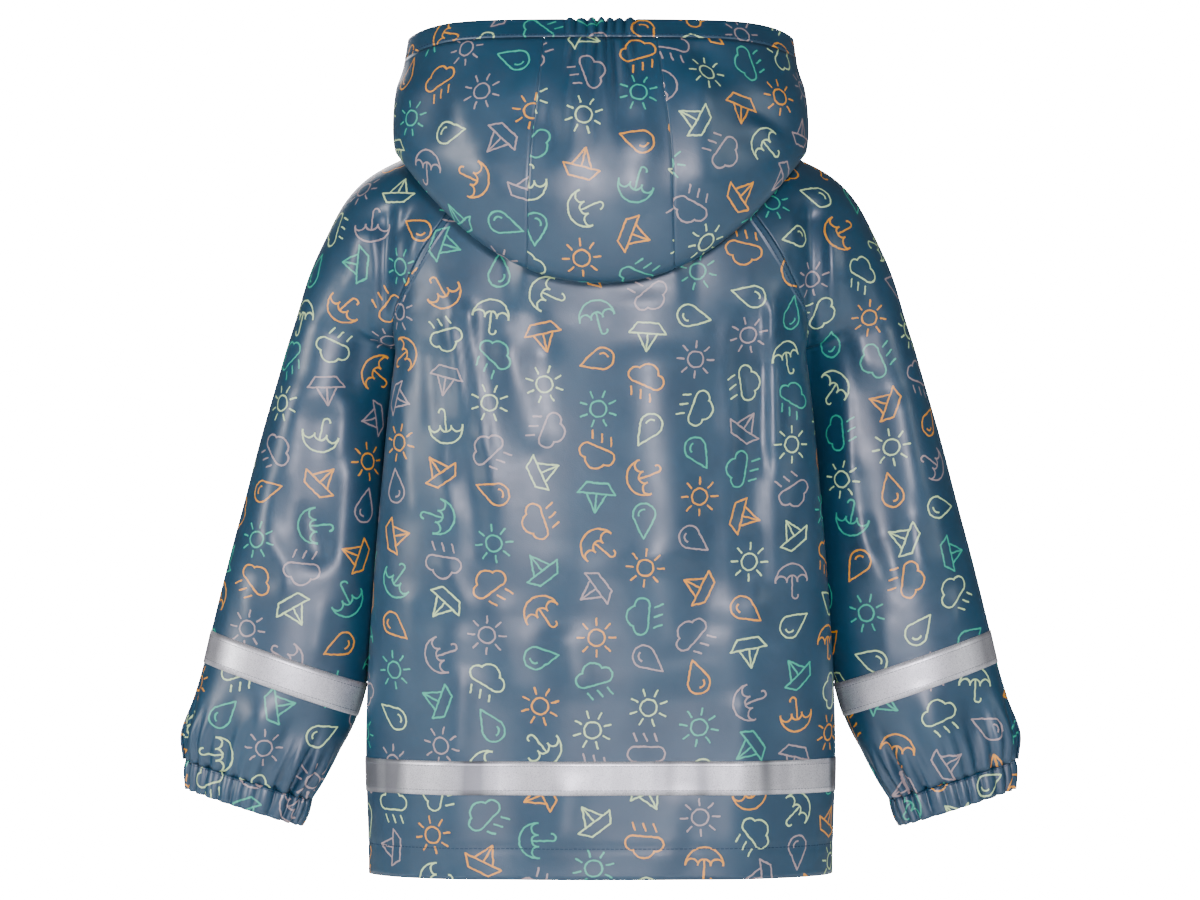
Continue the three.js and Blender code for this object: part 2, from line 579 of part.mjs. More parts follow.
const PRINTED = { color: 0x4b6880, roughness: 0.42, metalness: 0 };
const REFLECTIVE = { color: 0xb9bdc3, roughness: 0.45, metalness: 0.3 };
const STUD = { color: 0x3f5b72, roughness: 0.35, metalness: 0.1 };

const model = new THREE.Group();
model.name = 'kids_raincoat';
function add(name, geometry, look) {
  const mesh = new THREE.Mesh(geometry, new THREE.MeshStandardMaterial(look));
  mesh.name = name;
  model.add(mesh);
}

sewNormals();
for (const p of panels.values()) drawIn(p);
for (const [name, p] of panels) add(name, wallMesh(p, p.wall), PRINTED);

// Reflective tapes lie on the rows of their panels.
function tape(name, of, rows, from, to, firstColumn = 0) {
  const p = panels.get(of);
  const strip = (lines) => lines.slice(rows.indexOf(from), rows.indexOf(to) + 1)
    .map((line) => line.slice(firstColumn));
  const part = { grid: strip(p.grid), normals: strip(p.normals), flip: p.flip };
  add(name, wallMesh(part, TAPE, SEAM_GAP + TAPE), REFLECTIVE);
}
for (const piece of ['back', 'front_left', 'front_right']) {
  // The right front's tape ends before the left front laps over it.
  const firstColumn = piece === 'front_right' ? LAP_COLUMNS + 1 : 0;
  tape(`tape_${piece}`, piece, BODY_ROWS, TAPE_TOP_ROW, TAPE_LOW_ROW, firstColumn);
}
for (const piece of ['left_back', 'left_front', 'right_back', 'right_front']) {
  tape(`tape_sleeve_${piece}`, `sleeve_${piece}`, SLEEVE_ROWS, SLEEVE_TAPE_TOP, SLEEVE_TAPE_LOW);
}

// Press studs down the centre front, seated on the left front
for (let k = 0; k < STUD_COUNT; k++) {
  const row = STUD_FIRST + ((STUD_LAST - STUD_FIRST) * k) / (STUD_COUNT - 1);
  const centre = frontWithLap(row, 0, true);
  const above = frontWithLap(row - STUD_SIGHT, 0, true);
  const below = frontWithLap(row + STUD_SIGHT, 0, true);
  const out = below.sub(above).cross(new THREE.Vector3(1, 0, 0)).normalize();
  if (out.y > 0) out.negate();
  const disc = new THREE.CylinderGeometry(STUD_RADIUS * STUD_TOP, STUD_RADIUS, STUD_HEIGHT, STUD_SIDES);
  disc.applyQuaternion(new THREE.Quaternion().setFromUnitVectors(new THREE.Vector3(0, 1, 0), out));
  const seat = centre.addScaledVector(out, SEAM_GAP + STUD_HEIGHT / 2);
  disc.translate(seat.x, seat.y, seat.z);
  add(`stud_${k + 1}`, disc, STUD);
}

export default model;
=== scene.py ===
# %% [markdown]
# # A kids raincoat, sewn piece by piece
# The coat is seen from behind, filled out as on a wearer. Every panel is a thin shell on the form of its
# solid, with its folds placed one by one, because coated cloth makes few, long and soft folds.

# %% Opening the shared frame
import json
import math
import bpy
import numpy as np
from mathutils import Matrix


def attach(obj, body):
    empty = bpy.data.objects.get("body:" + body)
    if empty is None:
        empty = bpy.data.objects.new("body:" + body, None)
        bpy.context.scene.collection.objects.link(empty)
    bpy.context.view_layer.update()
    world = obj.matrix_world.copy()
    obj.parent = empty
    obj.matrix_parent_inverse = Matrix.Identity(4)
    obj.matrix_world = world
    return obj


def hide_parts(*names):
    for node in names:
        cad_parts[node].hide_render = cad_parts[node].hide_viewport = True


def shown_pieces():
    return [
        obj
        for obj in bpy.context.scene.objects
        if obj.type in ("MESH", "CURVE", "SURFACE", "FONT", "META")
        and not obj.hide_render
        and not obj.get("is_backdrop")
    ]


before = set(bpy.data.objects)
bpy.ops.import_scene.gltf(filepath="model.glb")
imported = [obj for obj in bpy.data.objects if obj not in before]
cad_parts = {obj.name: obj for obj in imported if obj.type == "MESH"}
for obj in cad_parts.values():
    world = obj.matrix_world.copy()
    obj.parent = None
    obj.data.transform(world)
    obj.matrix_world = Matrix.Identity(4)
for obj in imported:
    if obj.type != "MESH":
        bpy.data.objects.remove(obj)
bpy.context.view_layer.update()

# %% [markdown]
# ## Reading the sizes
# The pattern is a set of short tables in millimetres: one row for a level of the coat, one column for a
# size. A table is read smoothly between its rows, as a pattern cutter draws a curve through marks.

# %% Tables that are read between their rows
class Sizes:
    def __init__(self, key, names, rows):
        columns = np.array(rows, float).T
        self.keys = columns[0]
        self.columns = dict(zip([key, *names.split()], columns))

    def __call__(self, at):
        at = np.asarray(at, float)
        last = len(self.keys) - 1
        i = np.clip(np.searchsorted(self.keys, at, side="left") - 1, 0, last - 1)
        span = self.keys[i + 1] - self.keys[i]
        t = np.clip((at - self.keys[i]) / span, 0, 1)
        found = {}
        for name, v in self.columns.items():
            slopes = []
            for j in (i, i + 1):
                a, b = np.maximum(j - 1, 0), np.minimum(j + 1, last)
                slopes.append((v[b] - v[a]) / (self.keys[b] - self.keys[a]) * span)
            rise = v[i + 1] - v[i]
            found[name] = (v[i] + slopes[0] * t * (1 - t) ** 2 - slopes[1] * t * t * (1 - t)
                           + rise * t * t * (3 - 2 * t))
        return found


def ease(value):
    t = np.clip(value, 0, 1)
    return t * t * (3 - 2 * t)


def bezier(a, b, c, d, t):
    t = np.asarray(t, float)[..., None]
    u = 1 - t
    return u ** 3 * a + 3 * u * u * t * b + 3 * u * t * t * c + t ** 3 * d


def point(x, y, z):
    return np.stack(np.broadcast_arrays(x, y, z), -1).astype(float)


# %% [markdown]
# ## The body's levels
# Rows 0 to 8 follow the raglan seam from the neck to the underarm, and from there each row is 25 mm lower.
# A row runs from its middle to its side, where it turns in under the arm so that the sleeve can hang
# beside it. This is what a body does to a coat: flat at the shoulder blades, round at the sides.

# %% Sizes of the body, the sleeves and the hood
BODY_NAMES = "midZ midY x y z swell rise flat"
BACK = Sizes("row", BODY_NAMES, [
    [0, 6, 60, 66, 34, 3, -8, 17, 0.5],
    [1, -26, 77, 90, 62, -30, -28, 12, 0.5],
    [2, -57, 86, 115, 74, -62, -38, 11, 0.5],
    [3, -84, 91.5, 132, 76, -87, -40, 14, 0.5],
    [4, -110, 95, 145, 68, -113, -30, 22, 0.55],
    [5, -131, 97, 153, 52, -133, -6, 30, 0.6],
    [6, -149, 98.5, 152, 30, -150, 14, 46, 0.68],
    [7, -160, 99, 144, 10, -161, 34, 66, 0.75],
    [8, -166, 99.5, 137, -8, -166, 52, 82, 0.78],
    [9.6, -206, 100, 134, -8, -206, 70, 84, 0.8],
    [11.2, -246, 100.5, 137, -7, -246, 72, 84, 0.8],
    [14.4, -326, 100, 148, -5, -326, 63, 78, 0.8],
    [17.6, -406, 98, 164, -2, -406, 38, 66, 0.76],
    [19.92, -464, 97, 172, 0, -464, 20, 52, 0.72],
    [23.42, -551.6, 96, 174, 0, -551.6, 0, 50, 0.7],
])
FRONT = Sizes("row", BODY_NAMES, [
    [0, -25, -62, 58, -42, -14, -10, -10, 0.55],
    [1, -48, -74, 76, -58, -34, -20, -9, 0.5],
    [2, -72, -81, 93, -70, -57, -28, -8, 0.5],
    [3, -95, -86, 108, -76, -80, -33, -9, 0.5],
    [4, -115, -89, 119, -76, -101, -32, -11, 0.5],
    [5, -132, -91, 128, -69, -121, -24, -18, 0.56],
    [6, -148, -92, 135, -55, -139, -8, -28, 0.62],
    [7, -160, -93, 139, -33, -155, 10, -46, 0.7],
    [8, -166, -93.5, 137, -8, -166, 28, -72, 0.76],
    [9.6, -206, -94, 134, -8, -206, 46, -74, 0.8],
    [11.2, -246, -94.5, 137, -7, -246, 50, -74, 0.8],
    [14.4, -326, -95, 148, -5, -326, 46, -70, 0.8],
    [17.6, -406, -94, 164, -2, -406, 27, -60, 0.76],
    [19.92, -464, -93, 172, 0, -464, 16, -50, 0.72],
    [23.42, -551.6, -92, 174, 0, -551.6, 0, -48, 0.7],
])
UNDERARM, HEM = 8, 23.42
TAPE_ROWS = (19.92, 20.92)
HEM_STITCH = 22.5
side = BACK.keys >= UNDERARM
SIDE_SEAM = Sizes("row", "x y z", np.array([BACK.keys[side], *(BACK.columns[n][side] for n in "xyz")]).T)

ARM_Y = -8
ARM = Sizes("row", "outX outZ inX inZ behind before", [
    [0, 72, 3, 66, 3, 12, 10],
    [1, 100, -1, 90, -30, 21, 18],
    [2, 127, -9, 115, -62, 28, 25],
    [3, 152, -18, 132, -87, 33, 31],
    [4, 175, -31, 145, -113, 36, 35],
    [5, 192, -49, 153, -133, 38, 38],
    [6, 206, -75, 152, -150, 40, 40],
    [7, 219, -104, 144, -161, 41, 41],
    [8, 229, -137, 137, -166, 41, 41],
    [8.7, 236, -159, 150, -190, 41, 41],
    [9.5, 242.6, -182, 157, -214, 41, 41],
    [11, 255.7, -227.5, 161, -260, 42, 42],
    [12.5, 267.4, -272.6, 163, -307, 42, 42],
    [14, 279.4, -317.6, 167, -354, 42, 42],
    [15.5, 292.4, -370, 175.5, -410, 42, 42],
    [16.2, 298, -394, 182.5, -434.5, 41, 41],
    [17.5, 306, -427, 196, -463, 38, 38],
    [18.5, 310.5, -451, 208, -483, 33, 33],
    [19, 309.6, -467, 217, -496.3, 29, 29],
])
CUFF_ROW = 19
SLEEVE_TAPE_ROWS = (15.5, 16.2)
RAGLAN_BACK = Sizes("row", "x y z", [
    [0, 4, -15, 1], [1, 8, -22, 20], [2, 15, -20, 28], [3, 23, -15, 28], [4, 30, -7, 22],
    [5, 34, 8, 14], [6, 32, 26, 8], [7, 34, 38, 6], [8, 44, 46, 4],
    [8.7, 32, 50, 0], [9.5, 18, 53, 0], [11, 0, 56, 0],
])
RAGLAN_FRONT = Sizes("row", "x y z", [
    [0, 6, 13, 5], [1, 8, 20, 14], [2, 14, 18, 24], [3, 20, 15, 26], [4, 28, 8, 22],
    [5, 32, -5, 16], [6, 28, -24, 8], [7, 28, -38, 6], [8, 30, -46, 4],
    [8.7, 22, -50, 0], [9.5, 12, -53, 0], [11, 0, -56, 0],
])

HOOD = Sizes("share", "halfX backY sideY frontY backZ sideZ frontZ backCorner", [
    [0, 72, 61, -5, -62, 7, 4, -25, 2],
    [0.05, 75, 66, -4, -65, 17, 18, -16, 2],
    [0.12, 86, 78, 2, -68, 19, 26, -9, 2],
    [0.2, 102, 91, 10, -71, -6, 23, -3, 2],
    [0.32, 126, 103, 22, -73, -52, 12, 2, 2],
    [0.42, 143, 112, 34, -75, -95, -4, 4, 2.1],
    [0.5, 150, 125, 44, -77, -113, -16, 7, 2.2],
    [0.58, 153, 141, 46, -79, -99, -10, 10, 2.2],
    [0.7, 154, 152, 42, -82, -46, 8, 14, 2.4],
    [0.82, 152, 143.5, 34, -84, 14, 32, 18, 3.5],
    [0.93, 147, 122, 22, -83, 60, 50, 22, 6],
    [1, 144, 104, 15, -81, 81, 71, 25, 8],
])
HOOD_ROUND, FRONT_CORNER, BRIM_END, NECK_BLEND = 0.86, 2.5, 2.55, 0.2
HOOD_SEAM = Sizes("share", "x", [
    [0, 47], [0.12, 50], [0.36, 53], [0.5, 54], [0.64, 53], [0.76, 51], [0.87, 45], [1, 39]])
CASING_SHARE = 0.951

# %% [markdown]
# ## Folds
# Each fold is a straight soft trough or ridge with a width and a height. A neighbour across a seam reads
# the same folds at the same place, so a fold runs on from one panel to the next, as it does in cloth that
# is sewn together. The largest ones hang from the armholes and from under the hood.

# %% Folds of the back, the front and the hood
FOLDS = "z1 x2 z2 width height"


def fold_list(rows):
    return np.array(rows, float)


BACK_FOLDS = fold_list([
    [157, -45, 160, -140, 13, -8],
    [-156, -40, -160, -150, 13, -9],
    [183, -75, 163, -145, 14, -4],
    [110, -112, 107, -235, 9, 3],
    [103, -118, 80, -280, 8, 3],
    [96, -130, 90, -330, 10, -3],
    [-125, -108, -127, -175, 9, 4],
    [-117, -150, -112, -350, 13, -5],
    [-140, -110, -148, -330, 12, -3],
    [-35, -150, -60, -420, 32, 4],
    [40, -140, 35, -380, 30, -3],
    [18, -300, 30, -540, 24, 3],
    [-95, -330, -100, -545, 22, 3],
    [110, -350, 120, -545, 20, 3],
    [230, -170, 262, -330, 22, 5],
    [205, -190, 215, -330, 20, -5],
    [-226, -180, -256, -340, 20, 5],
    [-200, -170, -214, -320, 18, -5],
    [250, -410, 262, -462, 14, 4],
    [-238, -405, -250, -462, 14, 4],
    [-275, -400, -290, -458, 12, -3],
    [215, -420, 236, -470, 12, -3],
])
FRONT_FOLDS = fold_list([
    [112, -100, 100, -300, 14, 4],
    [-112, -100, -104, -280, 14, 4],
    [88, -120, 78, -340, 16, -4],
    [-86, -120, -80, -360, 16, -4],
    [60, -330, 66, -545, 22, 3],
    [-64, -320, -70, -545, 22, 3],
    [228, -170, 258, -330, 22, 5],
    [-228, -180, -254, -330, 22, 5],
    [206, -190, 216, -320, 20, -5],
    [-202, -180, -214, -330, 20, -5],
])
HOOD_FOLDS = fold_list([
    [43, 26, 49, 0, 6, 2.4],
    [37, 20, 42, -6, 5, -1.6],
    [66, 7, 46, -8, 7, 2.0],
    [-100, 12, -142, -11, 7, 2.6],
    [-96, 0, -136, -24, 8, -2.0],
    [-24, 42, -38, -34, 9, 2.0],
    [18, 40, 26, -40, 10, 1.6],
    [110, 40, 96, -20, 12, 2.0],
    [-78, 52, -66, 0, 11, 1.8],
    [-62, 74, -95, 26, 10, -5],
    [-95, 26, -148, -10, 11, -5],
    [-70, 60, -78, -60, 16, 4],
    [60, 30, 20, -30, 16, -3],
    [120, 40, 132, -20, 14, -4],
    [95, -10, 60, -70, 16, 3],
    [-20, 10, -30, -70, 16, 3],
])
# Smaller creases that only the looks have
BACK_CREASES = fold_list([
    [-72, -100, 72, -100, 26, 6.0],
    [150, -60, 140, -108, 5, -1.2],
    [-150, -55, -138, -110, 5, -1.4],
    [128, -95, 104, -140, 6, 1.2],
    [-118, -100, -95, -150, 6, 1.2],
    [74, -128, 62, -200, 7, 0.9],
    [-86, -130, -80, -230, 7, -1.1],
    [-150, -190, -140, -300, 7, 1.4],
    [150, -180, 138, -290, 7, 1.2],
    [170, -120, 190, -200, 8, -1.8],
    [-172, -110, -190, -190, 8, -1.6],
    [196, -90, 214, -150, 8, 1.4],
    [-198, -95, -212, -150, 8, 1.5],
    [186, -240, 196, -330, 8, 1.4],
    [-184, -235, -200, -330, 8, 1.4],
    [236, -250, 248, -350, 9, -1.3],
    [-238, -260, -246, -340, 9, -1.4],
    [280, -330, 288, -372, 8, 1.0],
    [205, -340, 214, -400, 8, 1.2],
    [-210, -350, -214, -405, 8, 1.2],
    [117, -128, 91, -240, 6, 2.4],
    [128, -150, 124, -230, 6, -1.6],
    [72, -148, 44, -240, 13, 2.6],
    [54, -120, 36, -180, 9, -1.8],
    [-34, -112, -42, -330, 38, 3.4],
    [-128, -118, -127, -245, 7, 2.6],
    [-106, -120, -104, -300, 9, -2.2],
    [-154, -45, -157, -195, 4.5, -4],
    [157, -50, 161, -150, 4.5, -3],
    [119, -248, 105, -296, 6, 2.0],
    [122, -306, 94, -362, 8, 2.2],
    [78, -335, 60, -425, 14, 2.2],
    [34, -360, 10, -420, 12, 2.2],
    [-28, -300, -56, -390, 16, 2.4],
    [-84, -250, -80, -380, 14, -2.0],
    [140, -330, 148, -450, 12, 2.0],
    [-140, -360, -150, -455, 12, 2.0],
    [252, -285, 230, -350, 9, 2.6],
    [222, -270, 206, -330, 9, -1.8],
    [-173, -60, -197, -185, 9, 2.6],
    [-190, -276, -208, -345, 9, 2.6],
    [-230, -280, -246, -345, 9, 2.4],
    [-214, -300, -226, -352, 7, -1.8],
    [176, -60, 200, -150, 9, 2.4],
    [188, -190, 196, -250, 8, 1.8],
    [268, -330, 262, -372, 8, 1.6],
    [-270, -335, -262, -378, 8, 1.8],
    [148, -42, 153, -108, 4.5, 2.6],
    [136, -50, 155, -84, 4.5, -2.2],
    [127, -60, 148, -102, 5, 2.2],
    [170, -62, 166, -150, 5, 2.0],
    [98, -120, 84, -250, 5, 2.4],
    [112, -150, 108, -262, 5, -1.6],
    [-169, -44, -172, -140, 4.5, 2.8],
    [-140, -50, -146, -96, 4.5, 2.2],
    [-148, -100, -151, -170, 4.5, 1.8],
    [-119, -120, -121, -262, 4.5, -2.4],
    [-101, -180, -99, -262, 6, 2.0],
    [-180, -150, -186, -262, 6, 2.0],
    [-110, -280, -116, -372, 7, 1.8],
    [100, -390, 108, -470, 9, 1.8],
    [-104, -410, -110, -500, 9, 1.8],
    [20, -470, 34, -548, 10, 1.6],
    [-62, -480, -50, -550, 10, 1.6],
])
FRONT_CREASES = fold_list([
    [120, -112, 108, -190, 6, 1.8],
    [-118, -116, -108, -200, 6, 1.8],
    [100, -150, 92, -260, 8, -1.6],
    [-98, -150, -94, -250, 8, -1.8],
    [46, -130, 40, -300, 18, 2.0],
    [-50, -140, -44, -280, 18, 2.2],
    [84, -300, 92, -420, 14, 2.2],
    [-88, -310, -84, -430, 14, 2.2],
    [30, -380, 36, -470, 12, -1.4],
    [-34, -370, -30, -460, 12, -1.4],
    [132, -330, 142, -450, 12, 2.0],
    [-134, -340, -146, -450, 12, 1.8],
    [176, -70, 198, -180, 9, 2.2],
    [-178, -66, -196, -176, 9, 2.4],
    [240, -280, 226, -350, 9, 2.2],
    [-236, -280, -250, -346, 9, 2.2],
])
FOLD_FADE, FOLD_REACH = 26, 34


def fold_height(folds, x, z, fade=FOLD_FADE):
    height = 0 * x
    for x1, z1, x2, z2, width, tall in folds:
        dx, dz = x2 - x1, z2 - z1
        length = math.hypot(dx, dz)
        along = ((x - x1) * dx + (z - z1) * dz) / length
        away = ((x - x1) * dz - (z - z1) * dx) / length
        height = height + tall * ease(along / fade) * ease((length - along) / fade) * np.exp(-(away / width) ** 2)
    return height


def slack(x, z):
    """The slight unevenness of hanging cloth, from a few crossing waves."""
    waves = ((0.061, 0.011, 0.3, 0.34), (0.103, -0.017, 1.9, 0.2), (-0.047, 0.021, 4.1, 0.3),
             (0.029, 0.034, 2.2, 0.34), (0.138, 0.031, 5.0, 0.09))
    return sum(tall * np.sin(a * x + b * z + turn) for a, b, turn, tall in waves)


def folded(p):
    away = p[..., 1] - ARM_Y
    x, z = p[..., 0], p[..., 2]
    back = fold_height(BACK_FOLDS, x, z) + fold_height(BACK_CREASES, x, z, 18)
    front = fold_height(FRONT_FOLDS, x, z) + fold_height(FRONT_CREASES, x, z, 18)
    height = np.where(away > 0, back, front) + slack(x, z)
    # The lower back leans in a little under the shoulder blades
    lean = -(5.0 * ease((-290 - z) / 110) + 3.0 * ease((-370 - z) / 180)) * ease((118 - np.abs(x)) / 60) * (away > 0)
    q = p.copy()
    q[..., 1] += np.sign(away) * height * ease(np.abs(away) / FOLD_REACH) + lean
    return q


# %% [markdown]
# ## Surfaces of the coat
# Three rules give every panel: a row across the body, a row round half a sleeve, and a ring of the hood.

# %% Points on the body, on a sleeve and on the hood
def body(table, row, across):
    row, across = np.broadcast_arrays(np.asarray(row, float), np.asarray(across, float))
    r = table(row)
    s = SIDE_SEAM(row)
    x, y, z = (np.where(row > UNDERARM, s[n], r[n]) for n in "xyz")
    p = bezier(point(0 * x, r["midY"], r["midZ"]), point(r["flat"] * r["x"], r["midY"], r["midZ"]),
               point(x + r["swell"], y + r["rise"], z), point(x, y, z), np.abs(across))
    p[..., 0] *= np.where(across < 0, -1, 1)
    return p


LAP_LIFT, LAP_FULL_X, LAP_END_X = 1.7, 30, 50


def front(row, across, lifted, settle=None):
    p = body(FRONT, row, across)
    p = folded(p if settle is None else settle(p, across))
    if lifted:
        p[..., 1] -= LAP_LIFT * ease((LAP_END_X - p[..., 0]) / (LAP_END_X - LAP_FULL_X))
    return p


def sleeve(table, handles, way, row, across):
    row, across = np.broadcast_arrays(np.asarray(row, float), np.asarray(across, float))
    r = ARM(row)
    h = handles(row)
    depth = 4 / 3 * (r["behind"] if way > 0 else r["before"]) * way
    out = point(r["outX"], ARM_Y, r["outZ"])
    seam = body(table, np.minimum(row, UNDERARM), 1 + 0 * row)
    end = np.where((row <= UNDERARM)[..., None], seam, point(r["inX"], ARM_Y, r["inZ"]))
    tall = np.where(row > handles.keys[-1], depth, h["y"])
    return bezier(out, out + point(0, depth, 0), end + point(h["x"], tall, h["z"]), end, across)


def mirrored(p):
    return p * np.array([-1, 1, 1])


def turn_of(place):
    r = {k: v[0] for k, v in HOOD.columns.items()}
    behind = place[..., 1] > r["sideY"]
    half = np.where(behind, r["backY"] - r["sideY"], r["sideY"] - r["frontY"])
    s = np.abs(place[..., 0] / r["halfX"]) ** (1 / HOOD_ROUND)
    c = np.abs((place[..., 1] - r["sideY"]) / half) ** (1 / HOOD_ROUND)
    return np.where(behind, np.arctan2(s, c), np.pi - np.arctan2(s, c))


def hood_ring(share, turn):
    share, turn = np.broadcast_arrays(share, turn)
    r = HOOD(share)
    s = np.abs(np.sin(turn)) ** HOOD_ROUND
    c = np.abs(np.cos(turn)) ** HOOD_ROUND
    behind = turn < np.pi / 2
    y = np.where(behind, r["sideY"] + (r["backY"] - r["sideY"]) * c, r["sideY"] - (r["sideY"] - r["frontY"]) * c)
    z = np.where(behind, r["backZ"] + (r["sideZ"] - r["backZ"]) * s ** r["backCorner"],
                 r["frontZ"] + (r["sideZ"] - r["frontZ"]) * s ** FRONT_CORNER)
    return point(r["halfX"] * s, y, z)


def neckline(f):
    """The neck from the centre back, f = 0, over both sleeve edges to the front, f = 1."""
    f = np.asarray(f, float)
    back = body(BACK, 0 * f, np.clip(f / 0.34, 0, 1))
    behind = sleeve(BACK, RAGLAN_BACK, 1, 0 * f, np.clip(1 - (f - 0.34) / 0.19, 0, 1))
    before = sleeve(FRONT, RAGLAN_FRONT, -1, 0 * f, np.clip((f - 0.53) / 0.19, 0, 1))
    front_edge = body(FRONT, 0 * f, np.clip(1 - (f - 0.72) / 0.28 * (11 / 12), 1 / 12, 1))
    f = f[..., None]
    return np.where(f <= 0.34, back, np.where(f <= 0.53, behind, np.where(f <= 0.72, before, front_edge)))


SEAM_F = 0.34 * 8 / 12
SEAM_START = float(turn_of(neckline(SEAM_F)))
END_TURN = float(turn_of(neckline(1.0)))


def edge_turn(share):
    return END_TURN + (BRIM_END - END_TURN) * share


def seam_turn(share):
    x, half = HOOD_SEAM(share)["x"], HOOD(share)["halfX"]
    turn = np.arcsin((x / half) ** (1 / HOOD_ROUND))
    return np.where(share <= 0, SEAM_START, turn)


GATHERS, GATHER_HALF = 8, 29


def hood(share, f):
    """f is from -1 to 1 round the sheet, 0 at the centre back."""
    share, f = np.broadcast_arrays(np.asarray(share, float), np.asarray(f, float))
    place = neckline(np.abs(f))
    t0, seam = turn_of(place), seam_turn(share)
    inner = t0 / SEAM_START * seam
    outer = seam + (t0 - SEAM_START) / (END_TURN - SEAM_START) * (edge_turn(share) - seam)
    turn = np.where(np.abs(f) <= SEAM_F, inner, outer)
    p = hood_ring(share, turn)
    p = p + (place - hood_ring(0 * share, turn)) * (1 - ease(share / NECK_BLEND))[..., None]
    p[..., 0] *= np.where(f < 0, -1, 1)
    seen = ease((share - 0.5) / 0.15) * ease((p[..., 1] + 20) / 60)
    height = fold_height(HOOD_FOLDS, p[..., 0], p[..., 2]) * seen + 0.8 * slack(p[..., 0] * 1.3, p[..., 2]) * ease(share / 0.2)
    # Gathers: full height at the brim, and puckers that die out below the casing
    inside = ease((GATHER_HALF - np.abs(p[..., 0])) / 8)
    spread = 1 + 0.35 * ease((CASING_SHARE - share) / 0.12)
    along = p[..., 0] / spread
    phase = np.pi * GATHERS * along / GATHER_HALF + 0.8 * np.sin(along * 0.16 + 0.6)
    wave = (2 * np.abs(np.cos(phase / 2)) ** 0.75 - 1.1) * (1 + 0.3 * np.sin(along * 0.23 + 1.2))
    grown = 2.4 * ease((share - CASING_SHARE) / 0.02) + 2.0 * ease((share - 0.83) / 0.1) * ease((CASING_SHARE + 0.004 - share) / 0.012)
    long_ones = 2 * np.abs(np.cos(phase / 4 + 0.4)) ** 0.9 - 1
    height = height + grown * inside * wave + 1.8 * long_ones * inside * ease((share - 0.74) / 0.16) * ease((0.96 - share) / 0.03)
    p[..., 2] += 1.3 * wave * inside * ease((share - 0.965) / 0.03)
    out = point(p[..., 0] * 0.6, p[..., 1] - 20, 0 * p[..., 0])
    return p + out / np.linalg.norm(out, axis=-1, keepdims=True) * height[..., None]


# %% [markdown]
# ## From points to cloth
# A panel is a grid of points on the outer face. The inner face lies one cloth thickness inside, and a
# narrow rim closes the two. The same grid is laid flat by evening out its edge lengths, which gives the
# cut of the piece, and the print follows that cut as real cloth would.

# %% Building a panel and laying it flat
CLOTH = 1.0
MM = 0.001
flat_cut = {}


def outward(grid, flip, ring=False):
    down = np.gradient(grid, axis=0)
    if ring:
        along = np.roll(grid, -1, 1) - np.roll(grid, 1, 1)
    else:
        along = np.gradient(grid, axis=1)
    n = np.cross(down, along)
    n /= np.linalg.norm(n, axis=-1, keepdims=True) + 1e-12
    return -n if flip else n


def even_lines(run, spacing):
    """Indices of the lines of a grid that stand about one spacing apart, with both ends."""
    wanted = np.linspace(0, run[-1], max(3, round(run[-1] / spacing) + 1))
    return np.unique(np.abs(run[None] - wanted[:, None]).argmin(1))


def length(q):
    return np.linalg.norm(q, axis=-1)


def lay_flat(grid, spacing=12.0, rounds=800):
    """Coordinates of the grid in its flat cut, in mm, with the first row on top."""
    run = np.r_[0, np.cumsum(length(np.diff(grid, axis=1)).mean(0))]
    fall = np.r_[0, np.cumsum(length(np.diff(grid, axis=0)).mean(1))]
    rows, columns = even_lines(fall, min(spacing, fall[-1] / 3)), even_lines(run, spacing)
    p = grid[np.ix_(rows, columns)]
    across, down = length(np.diff(p, axis=1)), length(np.diff(p, axis=0))
    slant, other = length(p[1:, 1:] - p[:-1, :-1]), length(p[1:, :-1] - p[:-1, 1:])
    mid = p.shape[1] // 2
    u = np.zeros(p.shape[:2])
    u[:, 1:] = np.cumsum(across, 1)
    u -= u[:, mid:mid + 1]
    v = np.zeros(p.shape[:2])
    v[1:] = -np.cumsum(down, 0)
    q = np.stack([u, v], -1)
    pairs = ((np.s_[:, :-1], np.s_[:, 1:], across), (np.s_[:-1], np.s_[1:], down),
             (np.s_[:-1, :-1], np.s_[1:, 1:], slant), (np.s_[:-1, 1:], np.s_[1:, :-1], other))
    for _ in range(rounds):
        move, count = np.zeros_like(q), np.zeros(q.shape[:2])
        for a, b, wanted in pairs:
            d = q[b] - q[a]
            l = length(d) + 1e-9
            push = d * ((l - wanted) / l / 2)[..., None]
            move[a] += push
            move[b] -= push
            count[a] += 1
            count[b] += 1
        q += move / count[..., None] * 1.6
    # Between the coarse lines, by the distance run along the cloth
    full = np.zeros(grid.shape[:2] + (2,))
    for k in range(2):
        lines = np.array([np.interp(run, run[columns], q[i, :, k]) for i in range(len(rows))])
        full[..., k] = np.array([np.interp(fall, fall[rows], lines[:, j]) for j in range(grid.shape[1])]).T
    return full


def face_areas(grid):
    a, b = grid[1:, 1:] - grid[:-1, :-1], grid[1:, :-1] - grid[:-1, 1:]
    return np.linalg.norm(np.cross(a, b), axis=-1) / 2


